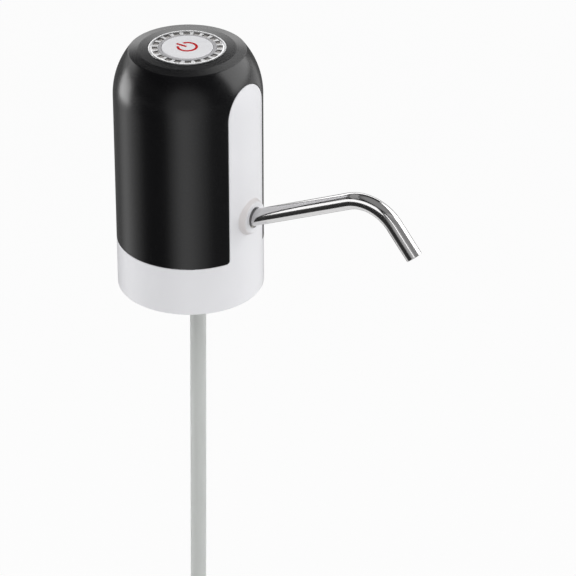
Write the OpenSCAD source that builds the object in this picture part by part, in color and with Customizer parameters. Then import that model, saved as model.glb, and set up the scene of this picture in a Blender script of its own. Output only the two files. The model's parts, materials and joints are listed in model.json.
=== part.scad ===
// Electric water jug pump: a rechargeable pump head that sits on a bottle's neck.
// Millimetres, +Z up. The origin is the centre of the neck socket's mouth; the spout points to -Y.

/* [Body] */
// Outer diameter of the body
body_d = 72; // [71:0.5:80]
// Height of the flat top above the skirt's lower edge
body_h = 126; // [122:0.5:134]
// Wall of the shell and the skirt
wall = 2.2; // [1.8:0.1:2.6]
// Height of the white skirt below the black shell
skirt_h = 25; // [24:0.5:27]
// Radius of the shoulder's arc
shoulder_r = 37; // [33:0.5:40]
// Diameter of the crease where the shoulder meets the top
crease_d = 56.4; // [54:0.2:58]
// Height of the sloping ring between the crease and the flat top
crease_drop = 1.2; // [0.6:0.1:1.6]
// Diameter of the flat top
flat_d = 46.9; // [44:0.1:49]
// Thickness of the shell's top
top_t = 2.6; // [2:0.1:3.2]
// Height of the locating lip above the skirt's upper edge
lip_h = 3.5; // [2:0.5:5]
// Thickness of the locating lip
lip_t = 1.6; // [1.2:0.1:1.8]
// Bevel along the skirt's lower edge
skirt_bevel = 0.4; // [0.2:0.1:0.8]

/* [Front window] */
// Width of the window and its panel
window_w = 28; // [24:0.5:30]
// Distance from the flat top down to the top of the arch
window_drop = 11; // [9:0.5:16]
// Rounding of the shell's lower corners beside the panel
window_corner = 1.7; // [1:0.1:2.5]
// Seam all round between the panel and the shell
seam = 0.15; // [0.1:0.05:0.3]

/* [Neck socket] */
// Bore that goes over the bottle's neck
neck_bore_d = 56.5; // [55.5:0.5:58]
// Depth of the socket from its mouth to the floor
neck_depth = 18; // [16:0.5:20]
// Wall of the socket
neck_wall = 2.2; // [1.6:0.1:2.6]
// Distance of the socket's wall above the skirt's lower edge
neck_recess = 0.8; // [0.4:0.1:2]
// Thickness of the floor
floor_t = 2.4; // [2:0.1:2.8]
// Inner diameter of the seat gasket
gasket_id = 46; // [45.5:0.5:48]
// Thickness of the seat gasket
gasket_t = 1.2; // [0.8:0.1:2]

/* [Spout] */
// Outer diameter of the spout's tube
spout_od = 8; // [7:0.5:8.5]
// Wall of the spout's tube
spout_wall = 0.5; // [0.4:0.1:0.8]
// Rise of the spout's straight above level, degrees
spout_rise = 25; // [22:0.5:28]
// Fall of the spout's tip below level, degrees
spout_fall = 50; // [40:1:60]
// Bend radius at the tube's middle
bend_r = 21.5; // [18:0.5:26]
// Length of the straight outside the body
spout_len = 61.2; // [45:0.2:75]
// Length of the straight tip
tip_len = 17.4; // [10:0.2:26]
// Depth of the tube inside the body
spout_in = 13; // [12:0.5:13.5]
// Height of the spout's axis at the body's surface
outlet_z = 44.7; // [44:0.1:46]
// Diameter of the boss round the spout, at its foot
boss_d = 18.2; // [17:0.1:20]
// Length of the boss in front of the body's surface
boss_len = 2.3; // [1.8:0.1:4]
// How far the bevelled side of the boss leans in
boss_bevel = 1.1; // [0.6:0.1:1.6]
// Hole in the boss
boss_hole_d = 9.6; // [9.4:0.1:10.2]
// Least wall of the boss in front of the spout's socket
boss_hole_t = 1.6; // [1.2:0.1:2.2]

/* [Button and top ring] */
// Outer diameter of the fluted bezel
bezel_d = 37.2; // [35:0.2:40]
// Inner diameter of the fluted bezel
bezel_id = 28; // [27.4:0.2:29]
// How far the bezel stands above the flat top
bezel_proud = 0.3; // [0.1:0.1:0.8]
// How deep the bezel is let into the top
bezel_sink = 1.2; // [0.8:0.1:1.6]
// Number of flutes round the bezel
flutes = 20; // [16:1:26]
// Width of a flute
flute_w = 3; // [2:0.1:3.6]
// Depth of a flute at its inner end
flute_depth = 0.5; // [0.2:0.1:0.7]
// Plain rim outside the flutes
bezel_rim = 1.1; // [0.8:0.1:1.4]
// Plain lip inside the flutes
bezel_lip = 0.6; // [0.4:0.1:1]
// Diameter of the button
button_d = 24.6; // [23:0.2:25]
// How far the button stands above the flat top
button_proud = 0.6; // [0.2:0.1:1.2]
// Travel of the button
button_travel = 0.6; // [0.3:0.1:0.8]
// Outer diameter of the power symbol's ring
mark_d = 10.2; // [8:0.2:14]
// Length of the power symbol's bar
mark_bar = 6.1; // [5:0.1:8]
// Line width of the power symbol
mark_w = 0.85; // [0.6:0.05:1.4]

/* [Motor and gear pump] */
// Diameter of the motor's can
motor_d = 24.4; // [23:0.2:25]
// Length of the motor's can
motor_len = 31; // [28:0.5:34]
// Wall of the motor's can
can_wall = 1; // [0.8:0.1:1.2]
// Thickness of the motor's magnets
magnet_t = 1.9; // [1.5:0.1:2.2]
// Diameter of the motor's shaft and the idler pin
shaft_d = 2; // [1.8:0.1:2.4]
// Distance between the two gears' axes
gear_centres = 9; // [8.6:0.1:9.4]
// Teeth on each gear, a multiple of four
gear_teeth = 8; // [8:4:12]
// Thickness of the gears
gear_t = 7.4; // [6:0.2:8]
// Thickness of the pump's cover
cover_t = 3; // [2.6:0.1:3.4]
// Thickness of the pump body above the gears
roof_t = 5.4; // [5.2:0.1:6]
// Wall of the pump body round the gears
pump_wall = 2.7; // [2.2:0.1:3]
// Distance from the body's axis to the middle of the gear pair, to the front
pump_y = 2.35; // [2:0.05:2.8]
// Distance of the pump's ports from the middle of the gear pair
port_off = 6; // [5.8:0.1:6.4]
// Diameter of the pump's ports
port_d = 4.8; // [4.4:0.1:5.2]

/* [Tubes] */
// Outer diameter of the suction hose
hose_od = 8; // [7:0.5:9]
// Bore of the suction hose
hose_id = 5.4; // [5:0.1:5.8]
// Wall of the inlet nipple
nipple_wall = 0.8; // [0.6:0.1:1]
// Length of the nipple below the floor
nipple_len = 12; // [10:0.5:14]
// Outer diameter of the barbs on the pump and the spout's socket
barb_d = 6; // [5.4:0.1:6.4]
// Wall of those barbs
barb_wall = 1; // [0.8:0.1:1.2]
// Length of those barbs
barb_len = 4; // [3.6:0.1:4.2]
// Wall of the silicone outlet tube
tube_wall = 1.5; // [1.2:0.1:1.6]

/* [Cell and boards] */
// Diameter of the lithium cell
cell_d = 18.4; // [18:0.1:18.6]
// Length of the lithium cell
cell_len = 65; // [60:0.5:70]
// Diameter of the control board
board_d = 46; // [44:0.5:48]
// Thickness of the boards
board_t = 1.6; // [1.2:0.1:2]
// Height of the switch's body
switch_h = 3.5; // [3:0.1:4.3]
// Side of the switch's body
switch_w = 6; // [5:0.5:8]
// Width of the charging socket
usb_w = 9; // [8.6:0.1:9.2]
// Height of the charging socket
usb_h = 3.2; // [3:0.1:3.4]
// Depth of the charging socket
usb_len = 7.4; // [7:0.1:7.8]
// Diameter of the lead wires
lead_d = 1.6; // [1.2:0.1:2]

/* [Frame and screws] */
// Diameter of the inner frame's posts and columns
post_d = 6.4; // [5.6:0.1:7]
// Thickness of the inner frame's plates
plate_t = 2.5; // [2:0.1:3]
// Outer diameter of the screws' threads
screw_d = 2.2; // [2:0.1:2.6]
// Diameter of the screws' heads
screw_head_d = 4.4; // [4:0.1:5]
// Height of the screws' heads
screw_head_h = 1.4; // [1.2:0.1:1.6]

/* [Fits] */
// Radial gap of a running fit
run_gap = 0.05; // [0.03:0.01:0.08]
// Gap between pieces that move past each other
free_gap = 0.3; // [0.25:0.05:0.35]

/* [Hidden] */
$fn = 96;
cut = 1; // how far a cutter runs past the face that it cuts

// Body of revolution
body_r = body_d/2;
inner_r = body_r - wall;
crease_r = crease_d/2;
crease_z = body_h - crease_drop;
arc_x = body_r - shoulder_r;
shoulder_z = crease_z - sqrt(pow(shoulder_r, 2) - pow(crease_r - arc_x, 2));
lip_r = inner_r - lip_t;

// Window
window_r = window_w/2;
arch_z = body_h - window_drop - window_r;

// Floor of the neck socket
floor_top = neck_depth + floor_t;
neck_r = neck_bore_d/2;
neck_out_r = min(neck_r + neck_wall, inner_r - free_gap);

// Places along the spout's axis, measured outward from the body's surface
spout_r = spout_od/2;
bend_angle = spout_rise + spout_fall;
sleeve_lip_t = 0.6;
sleeve_wall = 0.5;
sleeve_r = spout_r + run_gap + sleeve_wall;
sleeve_front = -0.5;
sleeve_back = -spout_in - run_gap - sleeve_lip_t;
socket_bore_r = sleeve_r + run_gap;
socket_wall = 1.5;
socket_nose_wall = 1;
socket_nose_r = socket_bore_r + socket_nose_wall;
socket_floor_t = 2;
seal_wire_r = 0.8;
seal_mid_r = socket_bore_r + seal_wire_r;
socket_r = seal_mid_r + seal_wire_r + socket_wall;
panel_left = 1.2;
socket_step = -(socket_r*sin(spout_rise) + panel_left)/cos(spout_rise);
socket_front = (boss_len - boss_hole_t - socket_nose_r*sin(spout_rise))/cos(spout_rise);
seal_first = socket_step - socket_wall - seal_wire_r;
seal_pitch = 3.8;
seal_places = [seal_first, seal_first - seal_pitch];
socket_floor = sleeve_back - free_gap;
socket_back = socket_floor - socket_floor_t;
barb_r = barb_d/2;
barb_bore_r = barb_r - barb_wall;
barb_end = socket_back - barb_len;
barb_split = 0.4;
stub_end = barb_end - barb_split;
tube_r = barb_r + tube_wall;
tube_front = socket_back - free_gap;
tube_back = stub_end - barb_len + free_gap;
tube_clear = 0.3;

// Boss: an upright disc round the place where the spout leaves it
boss_z = outlet_z + boss_len*tan(spout_rise);
boss_hole_end = (boss_len + boss_hole_d/2*sin(spout_rise))/cos(spout_rise) + cut;

// Cell, against the left side of the casing
cell_r = cell_d/2;
cell_off = lip_r - 2*free_gap - cell_r;
cell_angle = 161;
cell_at = cell_off*[cos(cell_angle), sin(cell_angle)];
tab_t = 0.2;
tab_w = 7;
cell_z = floor_top + tab_t;
cap_h = 1;
cap_r = 3;
cell_top = cell_z + cell_len;

// Pump, seen from above: in a narrow body the cell moves the motor over, and the outlet tube moves it back.
// The gears' line is turned so that the outlet port lies in the spout's plane.
motor_side_gap = 0.8;
pump_front_gap = 9.6;
motor_x = max((port_off - gear_centres/2)*cos(45), cell_at[0] + cell_r + motor_d/2 + motor_side_gap);
block_front = body_r + tube_back*cos(spout_rise) - tube_r*sin(spout_rise) - tube_clear;
gear_line = atan2(port_off, gear_centres/2) - acos(-motor_x/norm([gear_centres/2, port_off]));
port_dir = [cos(gear_line - 90), sin(gear_line - 90)];
gear_dir = [cos(gear_line), sin(gear_line)];
pump_mid = [motor_x + gear_centres/2*gear_dir[0], max(-pump_y, pump_front_gap - block_front)];
drive_at = pump_mid - gear_centres/2*gear_dir;
driven_at = pump_mid + gear_centres/2*gear_dir;
outlet_at = pump_mid + port_off*port_dir;
inlet_at = pump_mid - port_off*port_dir;
shaft_r = shaft_d/2;
tooth_pitch = PI*gear_centres/gear_teeth;
tooth_base = 0.27*tooth_pitch;
tooth_tip = 0.13*tooth_pitch;
tooth_sink = 0.4;
tooth_high = 0.9;
tip_r = gear_centres/2 + tooth_high;
root_r = gear_centres/2 - tooth_high - free_gap;
pocket_r = tip_r + free_gap;
pocket_h = gear_t + 2*free_gap;
pocket_z = floor_top + cover_t;
pump_top = pocket_z + pocket_h + roof_t;
seal_r = 4;
seal_h = 3;
pin_seat = 2;
pump_block_w = port_d + 2*pump_wall;
stub_root = 1;
port_over = 1.2;
screw_edge = 0.8;
pump_screw_off = motor_d/2 - screw_head_d/2 - screw_edge;
pump_screw_angles = [125, 195];
pump_screws_at = [for (a = pump_screw_angles)
    drive_at + pump_screw_off*[cos(gear_line + a), sin(gear_line + a)]];
pump_screw_bite = 8;
pump_screw_len = cover_t + pump_screw_bite;

// Motor
motor_z = pump_top;
motor_r = motor_d/2;
bush_r = 3;
bush_h = 2.4;
cap_t = 2.4;
cap_rim = 1.2;
magnet_gap = 4;
magnet_span = 120;
magnet_h = motor_len - 2*magnet_gap - cap_t;
air_gap = 0.4;
armature_r = motor_r - can_wall - magnet_t - air_gap;
armature_inset = 1;
armature_slots = 5;
slot_w = 1.2;
slot_root_r = 5;
terminal_off = 7;
terminal_size = [0.5, 2.4, 5];

// Top stack
bezel_dip = 0.2;
bezel_edge = 0.3;
light_flange = 0.9;
light_r = bezel_id/2 + light_flange;
light_h = 7;
light_proud = 0.3;
button_r = button_d/2;
button_guide_r = button_r + free_gap;
light_z = body_h - light_h;
flange_t = 1.2;
flange_r = bezel_id/2;
flange_top = light_z - free_gap;
button_roof = 2;
button_wall = 1.5;
stem_r = 2.2;
mark_t = 0.4;
mark_proud = 0.05;
mark_gap = 60;
plunger_r = 1.75;
plunger_h = 1.3;
plunger_in = 1.7;
stem_drop = 1.5;
stem_z = flange_top - flange_t - stem_drop;
switch_z = stem_z - plunger_h - switch_h;
board_z = switch_z - board_t;
board_r = board_d/2;
led_w = 3;
led_h = 1.2;

// Frame
post_r = post_d/2;
post_edge = 0.4;
post_off = gasket_id/2 - screw_head_d/2 - post_edge;
post_angles = [12, 102, 225];
posts_at = [for (a = post_angles) post_off*[cos(a), sin(a)]];
column_edge = 0.3;
column_off = board_r - post_r + column_edge;
column_angles = [-37, 118, 230];
columns_at = [for (a = column_angles) column_off*[cos(a), sin(a)]];
plate_gap = 1.6;
plate_z = pump_top + plate_gap;
clamp_drop = 6;
clamp_z = motor_z + motor_len - clamp_drop;
plate_r = inner_r - free_gap;
front_cut_gap = 2.5;
front_cut_w = boss_d + 2*front_cut_gap;
front_cut_back = 0.5;
front_cut_y = block_front - front_cut_back;
motor_rim = 3;
cell_rim = 2;
arm_inset = 0.6;
arm_w = post_d - 2*arm_inset;
screw_r = screw_d/2;
head_r = screw_head_d/2;
base_screw_bite = 8;
base_screw_len = floor_t + base_screw_bite;
board_screw_bite = 7;
board_screw_len = board_t + board_screw_bite;

// Charging socket, at the back above the lower plate
charge_y = 21.5;
charge_w = 16;
charge_z = plate_z + plate_t;
charge_edge = 1.6;
charge_len = inner_r - charge_edge - charge_y;
usb_setback = 6.4;
usb_front = inner_r - usb_setback;
usb_z = charge_z + board_t + usb_h/2;
usb_wall = 0.3;
usb_back = 1;
usb_tongue = 0.7;
port_clear = 0.4;

// Leads: straight at both ends, with a smooth shift to the side between
lead_sides = 8;
lead_rings = 8;
lead_straight = 4;
cell_lead_in = 1.6;
cell_lead_gap = 0.4;
cell_lead_pitch = lead_d + cell_lead_gap;
cell_lead_shift = 5;
motor_lead_shift = [2, -1];
charge_lead_in = 1.4;
charge_lead_y = charge_y + charge_lead_in;
charge_lead_x = charge_w/2 - charge_lead_in;
charge_lead_shift = [2, -3];
lead_red = "#b3202a";
lead_black = "#1a1a1a";

// Suction hose: its middle line from the floor down
nipple_z = neck_depth - nipple_len;
nipple_r = hose_id/2;
nipple_bore_r = nipple_r - nipple_wall;
nipple_flange = 1.3;
nipple_seat_r = nipple_r + nipple_flange;
hose_sides = 12;
hose_gap = 0.4;
hose_top = neck_depth - hose_gap;
hose_path = [
    [0, 0, hose_top], [0, 0, nipple_z], [-0.1, 0, -20], [-0.5, 0, -40], [-0.9, 0, -60],
    [-1.3, 0, -80], [-1.7, 0, -100], [-2.1, 0, -120], [-2.6, 0, -140], [-3.1, -0.1, -160],
    [-3.6, -0.1, -180], [-4.1, -0.2, -200], [-4.6, -0.3, -220], [-5.1, -0.4, -240],
    [-5.6, -0.5, -260], [-6.0, -0.6, -280], [-6.4, -0.7, -300], [-6.8, -0.8, -320],
    [-7.1, -0.9, -340], [-7.2, -1, -350]
];

// Colours
black_abs = "#1c1c1e";
white_abs = "#e8e8ec";
clear_silicone = "#dfe6e8";
steel = "#b9bcc0";
board_green = "#1f5a3a";

// Shared shapes

// A ring about Z, from z to z + h
module ring(r_out, r_in, z, h) {
    translate([0, 0, z]) difference() {
        cylinder(r = r_out, h = h);
        translate([0, 0, -cut]) cylinder(r = r_in, h = h + 2*cut);
    }
}

// A point in plan with a height
function up(p, z) = [p[0], p[1], z];

// Local Z along the spout's axis outward, from the body's surface; local Y is up and inward
module on_spout_axis() {
    translate([0, -body_r, outlet_z]) rotate([90 - spout_rise, 0, 0]) children();
}

// Cylinder on the spout's axis between two places
module axis_cylinder(r, from, to) {
    on_spout_axis() translate([0, 0, from]) cylinder(r = r, h = to - from);
}

// Half section of the body, with its skin set in by a wall and its top lowered
module body_section(inset, top) {
    intersection() {
        union() {
            square([body_r - inset, shoulder_z]);
            translate([arc_x, shoulder_z]) circle(r = shoulder_r - inset);
        }
        polygon([
            [0, 0], [body_r, 0], [body_r, top - crease_drop], [crease_r, top - crease_drop],
            [flat_d/2, top], [0, top]
        ]);
    }
}

// Closed body of revolution between the section's skin and an inner one
module body_skin() {
    rotate_extrude() difference() {
        body_section(0, body_h);
        body_section(wall, body_h - top_t);
    }
}

// Window outline seen from the front, grown by a gap on each side
module window_outline(grow) {
    r = window_r + grow;
    c = window_corner;
    translate([0, arch_z]) circle(r = r);
    translate([-r, skirt_h - cut]) square([2*r, arch_z - skirt_h + cut]);
    for (s = [0, 1]) mirror([s, 0]) translate([r, skirt_h - cut]) difference() {
        square([c, c + cut]);
        translate([c, c + cut]) circle(r = c);
    }
}

// The window as a prism that runs out through the front
module window_prism(grow) {
    rotate([90, 0, 0]) linear_extrude(body_r + cut) window_outline(grow);
}

// A screw that points up from z, with its head at the bottom
module screw(at, z, length) {
    translate(up(at, z)) {
        cylinder(r = head_r, h = screw_head_h);
        cylinder(r = screw_r, h = length);
    }
}

// Plan of the pump: a round end under the motor, the second gear's lobe and the outlet's block
module pump_plan() {
    translate(drive_at) circle(r = motor_r);
    translate(driven_at) circle(r = pocket_r + pump_wall);
    translate([-pump_block_w/2, -block_front]) square([pump_block_w, block_front]);
}

// Gear with straight-sided teeth; a tooth points along +X
module gear(bore_r) {
    linear_extrude(gear_t) difference() {
        union() {
            circle(r = root_r);
            for (i = [0 : gear_teeth - 1]) rotate(i*360/gear_teeth) polygon([
                [root_r - tooth_sink, -tooth_base], [tip_r, -tooth_tip],
                [tip_r, tooth_tip], [root_r - tooth_sink, tooth_base]
            ]);
        }
        circle(r = bore_r);
    }
}

// Tube swept along points: rings of the given sides, square to the path
function unit(v) = v/norm(v);
function heading(p, i) = unit(p[min(i + 1, len(p) - 1)] - p[max(i - 1, 0)]);
function ring_points(p, i, r, n) =
    let (t = heading(p, i), a = unit(cross([0, 1, 0], t)), b = cross(t, a))
    [for (k = [0 : n - 1]) p[i] + r*(cos(k*360/n)*a + sin(k*360/n)*b)];
module swept_tube(path, r_out, r_in, n) {
    m = len(path);
    hollow = r_in > 0;
    outer = [for (i = [0 : m - 1]) each ring_points(path, i, r_out, n)];
    inner = hollow ? [for (i = [0 : m - 1]) each ring_points(path, i, r_in, n)] : [];
    w = m*n;
    side = [for (i = [0 : m - 2], k = [0 : n - 1])
        let (q = i*n, j = (k + 1) % n)
        each [[q + k, q + n + k, q + n + j], [q + k, q + n + j, q + j]]];
    bore = !hollow ? [] : [for (i = [0 : m - 2], k = [0 : n - 1])
        let (q = w + i*n, j = (k + 1) % n)
        each [[q + k, q + n + j, q + n + k], [q + k, q + j, q + n + j]]];
    e = (m - 1)*n;
    ends = !hollow
        ? [[for (k = [0 : n - 1]) k], [for (k = [n - 1 : -1 : 0]) e + k]]
        : [for (k = [0 : n - 1]) let (j = (k + 1) % n) each [
            [k, j, w + j], [k, w + j, w + k],
            [e + k, w + e + j, e + j], [e + k, w + e + k, w + e + j]]];
    polyhedron(concat(outer, inner), concat(side, bore, ends));
}

// Lead from a point up to the control board, shifted sideways on the way
function lead_path(p, shift) =
    let (low = p[2] + lead_straight, high = board_z - lead_straight, foot = [p[0], p[1]])
    concat(
        [p],
        [for (i = [0 : lead_rings])
            let (t = i/lead_rings) up(foot + (3 - 2*t)*t*t*shift, low + t*(high - low))],
        [up(foot + shift, board_z)]
    );
module lead(p, shift, tint) {
    color(tint) swept_tube(lead_path(p, shift), lead_d/2, 0, lead_sides);
}

// Casing

// Black cover: domed skin with the window, the top opening and the charging port cut out
module outer_shell() {
    color(black_abs) difference() {
        rotate(-90) body_skin();
        translate([0, 0, -cut]) cylinder(r = body_r + cut, h = skirt_h + cut);
        window_prism(seam);
        translate([0, 0, body_h - bezel_sink]) cylinder(d = bezel_d, h = bezel_sink + cut);
        cylinder(r = light_r, h = body_h + cut);
        translate([0, usb_front, usb_z]) usb_plan(port_clear, body_r);
    }
}

// White skirt, front panel and spout boss, with a lip that locates the black cover
module white_body() {
    color(white_abs) difference() {
        union() {
            rotate_extrude() polygon([
                [body_r, skirt_bevel], [body_r, skirt_h], [inner_r - free_gap, skirt_h],
                [inner_r - free_gap, skirt_h + lip_h], [lip_r, skirt_h + lip_h],
                [lip_r, floor_top], [inner_r, floor_top], [inner_r, 0],
                [body_r - skirt_bevel, 0]
            ]);
            intersection() {
                body_skin();
                window_prism(0);
            }
            translate([0, -body_r, boss_z]) rotate([90, 0, 0]) {
                translate([0, 0, -2*wall]) cylinder(d = boss_d, h = 2*wall);
                cylinder(d1 = boss_d, d2 = boss_d - 2*boss_bevel, h = boss_len);
            }
        }
        axis_cylinder(boss_hole_d/2, -spout_in, boss_hole_end);
        socket_form();
    }
}

// Floor and wall that go over the bottle's neck
module neck_socket() {
    color(white_abs) difference() {
        union() {
            translate([0, 0, neck_depth]) cylinder(r = inner_r, h = floor_t);
            ring(neck_out_r, neck_r, neck_recess, neck_depth - neck_recess);
        }
        translate(up(inlet_at, neck_depth - cut)) cylinder(r = nipple_seat_r, h = floor_t + 2*cut);
        for (p = posts_at) {
            translate(up(p, neck_depth - cut)) cylinder(r = head_r, h = screw_head_h + cut);
            translate(up(p, neck_depth - cut)) cylinder(r = screw_r, h = floor_t + 2*cut);
        }
    }
}

// Soft ring that rests on the neck's rim
module seat_gasket() {
    color(clear_silicone) ring(neck_r, gasket_id/2, neck_depth - gasket_t, gasket_t);
}

// Bright ring whose top dips inward, with a row of short flutes between its lip and its rim
module bezel_ring() {
    r_out = bezel_d/2;
    r_in = bezel_id/2;
    z_top = body_h + bezel_proud;
    z_lip = z_top - bezel_dip;
    flute_len = r_out - bezel_rim - r_in - bezel_lip;
    color(steel) difference() {
        rotate_extrude() polygon([
            [r_in, body_h - bezel_sink], [r_out, body_h - bezel_sink], [r_out, z_top - bezel_edge],
            [r_out - bezel_edge, z_top], [r_in + bezel_lip, z_lip], [r_in, z_lip]
        ]);
        for (i = [0 : flutes - 1]) rotate(i*360/flutes)
            translate([r_in + bezel_lip, -flute_w/2, z_lip - flute_depth])
                cube([flute_len, flute_w, flute_depth + bezel_dip + cut]);
    }
}

// Pale ring between the bezel and the button
module light_ring() {
    color("#d8dade") difference() {
        union() {
            translate([0, 0, light_z]) cylinder(r = light_r, h = light_h - bezel_sink);
            translate([0, 0, light_z]) cylinder(d = bezel_id, h = light_h + light_proud);
        }
        translate([0, 0, light_z - cut]) cylinder(r = button_guide_r, h = light_h + 3*cut);
    }
}

// Round button: cap, retaining flange and the stem that works the switch
module button_cap() {
    z_top = body_h + button_proud;
    color(white_abs) difference() {
        union() {
            translate([0, 0, flange_top]) cylinder(r = button_r, h = z_top - flange_top);
            translate([0, 0, flange_top - flange_t]) cylinder(r = flange_r, h = flange_t);
            translate([0, 0, stem_z]) cylinder(r = stem_r, h = z_top - button_roof - stem_z);
        }
        difference() {
            translate([0, 0, flange_top - flange_t - cut])
                cylinder(r = button_r - button_wall, h = z_top - button_roof - flange_top + flange_t + cut);
            translate([0, 0, stem_z - cut]) cylinder(r = stem_r, h = body_h);
        }
        translate([0, 0, z_top - mark_t]) mark_plan(mark_t + cut);
    }
}

// Standby symbol: an open ring with a bar through the gap, which faces the back
module mark_plan(h) {
    r = mark_d/2;
    rotate(90 + mark_gap/2) rotate_extrude(angle = 360 - mark_gap)
        translate([r - mark_w, 0]) square([mark_w, h]);
    translate([-mark_w/2, 0, 0]) cube([mark_w, mark_bar, h]);
}

// Red inlay of the symbol
module power_mark() {
    color("#c81e28") translate([0, 0, body_h + button_proud - mark_t]) mark_plan(mark_t + mark_proud);
}

// Switch and boards

// Plunger of the switch, under the button's stem
module switch_plunger() {
    color("#303034") translate([0, 0, stem_z - plunger_h - plunger_in])
        cylinder(r = plunger_r, h = plunger_h + plunger_in);
}

// Square switch with a hole for its plunger
module switch_body() {
    bore = plunger_in + button_travel + free_gap;
    color("#26262a") difference() {
        translate([-switch_w/2, -switch_w/2, switch_z]) cube([switch_w, switch_w, switch_h]);
        translate([0, 0, switch_z + switch_h - bore]) cylinder(r = plunger_r + run_gap, h = bore + cut);
    }
}

// Round board under the button
module control_board() {
    color(board_green) difference() {
        translate([0, 0, board_z]) cylinder(r = board_r, h = board_t);
        for (p = columns_at) translate(up(p, board_z - cut)) cylinder(r = screw_r, h = board_t + 2*cut);
    }
}

// Lamps under the light ring
module status_leds() {
    led_off = (button_guide_r + light_r)/2;
    color("white") for (a = [45 : 90 : 315]) rotate(a)
        translate([led_off - led_w/2, -led_w/2, board_z + board_t]) cube([led_w, led_w, led_h]);
}

// Screws that hold the control board to the columns
module board_screws() {
    color(steel) for (p = columns_at) translate(up(p, board_z + board_t)) {
        cylinder(r = head_r, h = screw_head_h);
        translate([0, 0, -board_screw_len]) cylinder(r = screw_r, h = board_screw_len);
    }
}

// Frame

// Plate of the given outline that fits round the motor and the cell
module frame_plate(z) {
    translate([0, 0, z]) linear_extrude(plate_t) difference() {
        children();
        translate(drive_at) circle(r = motor_r);
        translate(cell_at) circle(r = cell_r);
    }
}

// Outline of the lower plate, cut away at the front for the spout's tube
module lower_rim() {
    difference() {
        circle(r = plate_r);
        translate([-front_cut_w/2, -body_r]) square([front_cut_w, body_r - front_cut_y]);
    }
}

// Outline of the upper clamp: a rim round the motor and the cell, with arms to the cell and the columns
module clamp_rim_plan() {
    translate(drive_at) circle(r = motor_r + motor_rim);
    translate(cell_at) circle(r = cell_r + cell_rim);
    for (p = [cell_at, each columns_at]) intersection() {
        translate(drive_at) rotate(atan2(p[1] - drive_at[1], p[0] - drive_at[0]))
            translate([0, -arm_w/2]) square([norm(p - drive_at), arm_w]);
        circle(r = plate_r);
    }
}

// Posts on the floor, two plates and the columns under the control board
module inner_frame() {
    color("#c9cacd") difference() {
        union() {
            for (p = posts_at) translate(up(p, floor_top))
                cylinder(r = post_r, h = plate_z - floor_top + plate_t);
            for (p = columns_at) translate(up(p, plate_z)) cylinder(r = post_r, h = board_z - plate_z);
            frame_plate(plate_z) lower_rim();
            frame_plate(clamp_z) clamp_rim_plan();
        }
        for (p = posts_at) translate(up(p, floor_top - cut)) cylinder(r = screw_r, h = base_screw_len);
        for (p = columns_at) translate(up(p, board_z - board_screw_len + board_t))
            cylinder(r = screw_r, h = board_screw_len + cut);
    }
}

// Screws through the floor into the posts
module base_screws() {
    color(steel) for (p = posts_at) screw(p, neck_depth, base_screw_len);
}

// Battery

// Round lithium cell with its raised end
module battery_cell() {
    color("#2f6db0") translate(up(cell_at, cell_z)) {
        cylinder(r = cell_r, h = cell_len);
        cylinder(r = cap_r, h = cell_len + cap_h);
    }
}

// Welded strips on both ends of the cell
module battery_tabs() {
    color(steel) for (z = [floor_top, cell_top + cap_h])
        translate(up(cell_at, z) - [tab_w/2, tab_w/2, 0]) cube([tab_w, tab_w, tab_t]);
}

// Leads from the cell's upper strip to the board
module battery_leads() {
    foot = up(cell_at, cell_top + cap_h + tab_t) + [cell_lead_in, 0, 0];
    for (s = [-1, 1])
        lead(foot + [0, s*cell_lead_pitch/2, 0], [cell_lead_shift, 0], s < 0 ? lead_red : lead_black);
}

// Motor

// Steel can, closed at the pump's end
module motor_can() {
    color("#a9acb0") translate(up(drive_at, motor_z)) difference() {
        cylinder(r = motor_r, h = motor_len);
        translate([0, 0, can_wall]) cylinder(r = motor_r - can_wall, h = motor_len);
        translate([0, 0, -cut]) cylinder(r = bush_r, h = can_wall + 2*cut);
    }
}

// Plastic end cap with the brushes' terminals let in
module motor_endcap() {
    color("#3b3b40") translate(up(drive_at, motor_z + motor_len)) difference() {
        union() {
            translate([0, 0, -cap_t]) cylinder(r = motor_r - can_wall, h = cap_t);
            cylinder(r = motor_r, h = cap_rim);
        }
        translate([0, 0, -cap_t - cut]) cylinder(r = bush_r, h = cap_t + cap_rim + 2*cut);
        for (s = [-1, 1]) translate([s*terminal_off, 0, 0] - [terminal_size[0], terminal_size[1], 0]/2)
            cube(terminal_size);
    }
}

// Bearing bushes in the can and the end cap
module motor_bushes() {
    color("#b08d4a") translate(up(drive_at, 0)) {
        ring(bush_r, shaft_r + run_gap, motor_z, bush_h);
        ring(bush_r, shaft_r + run_gap, motor_z + motor_len - cap_t, cap_t + cap_rim);
    }
}

// Two magnets against the can
module motor_magnets() {
    r_out = motor_r - can_wall;
    color("#505058") translate(up(drive_at, motor_z + magnet_gap)) for (a = [30, 210])
        rotate(a) rotate_extrude(angle = magnet_span) translate([r_out - magnet_t, 0])
            square([magnet_t, magnet_h]);
}

// Brass terminals
module motor_terminals() {
    color("#c8a24a") translate(up(drive_at, motor_z + motor_len)) for (s = [-1, 1])
        translate([s*terminal_off, 0, 0] - [terminal_size[0], terminal_size[1], 0]/2) cube(terminal_size);
}

// Slotted armature on the shaft
module motor_armature() {
    h = magnet_h - 2*armature_inset;
    z = motor_z + magnet_gap + armature_inset;
    color("#8a5a30") translate(up(drive_at, z)) linear_extrude(h) difference() {
        circle(r = armature_r);
        circle(r = shaft_r);
        for (i = [0 : armature_slots - 1]) rotate(i*360/armature_slots)
            translate([slot_root_r, -slot_w/2]) square([armature_r, slot_w]);
    }
}

// Shaft from the pump's cover to the end cap
module motor_shaft() {
    z0 = pocket_z - pin_seat + free_gap;
    color(steel) translate(up(drive_at, z0)) cylinder(r = shaft_r, h = motor_z + motor_len - z0);
}

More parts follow.
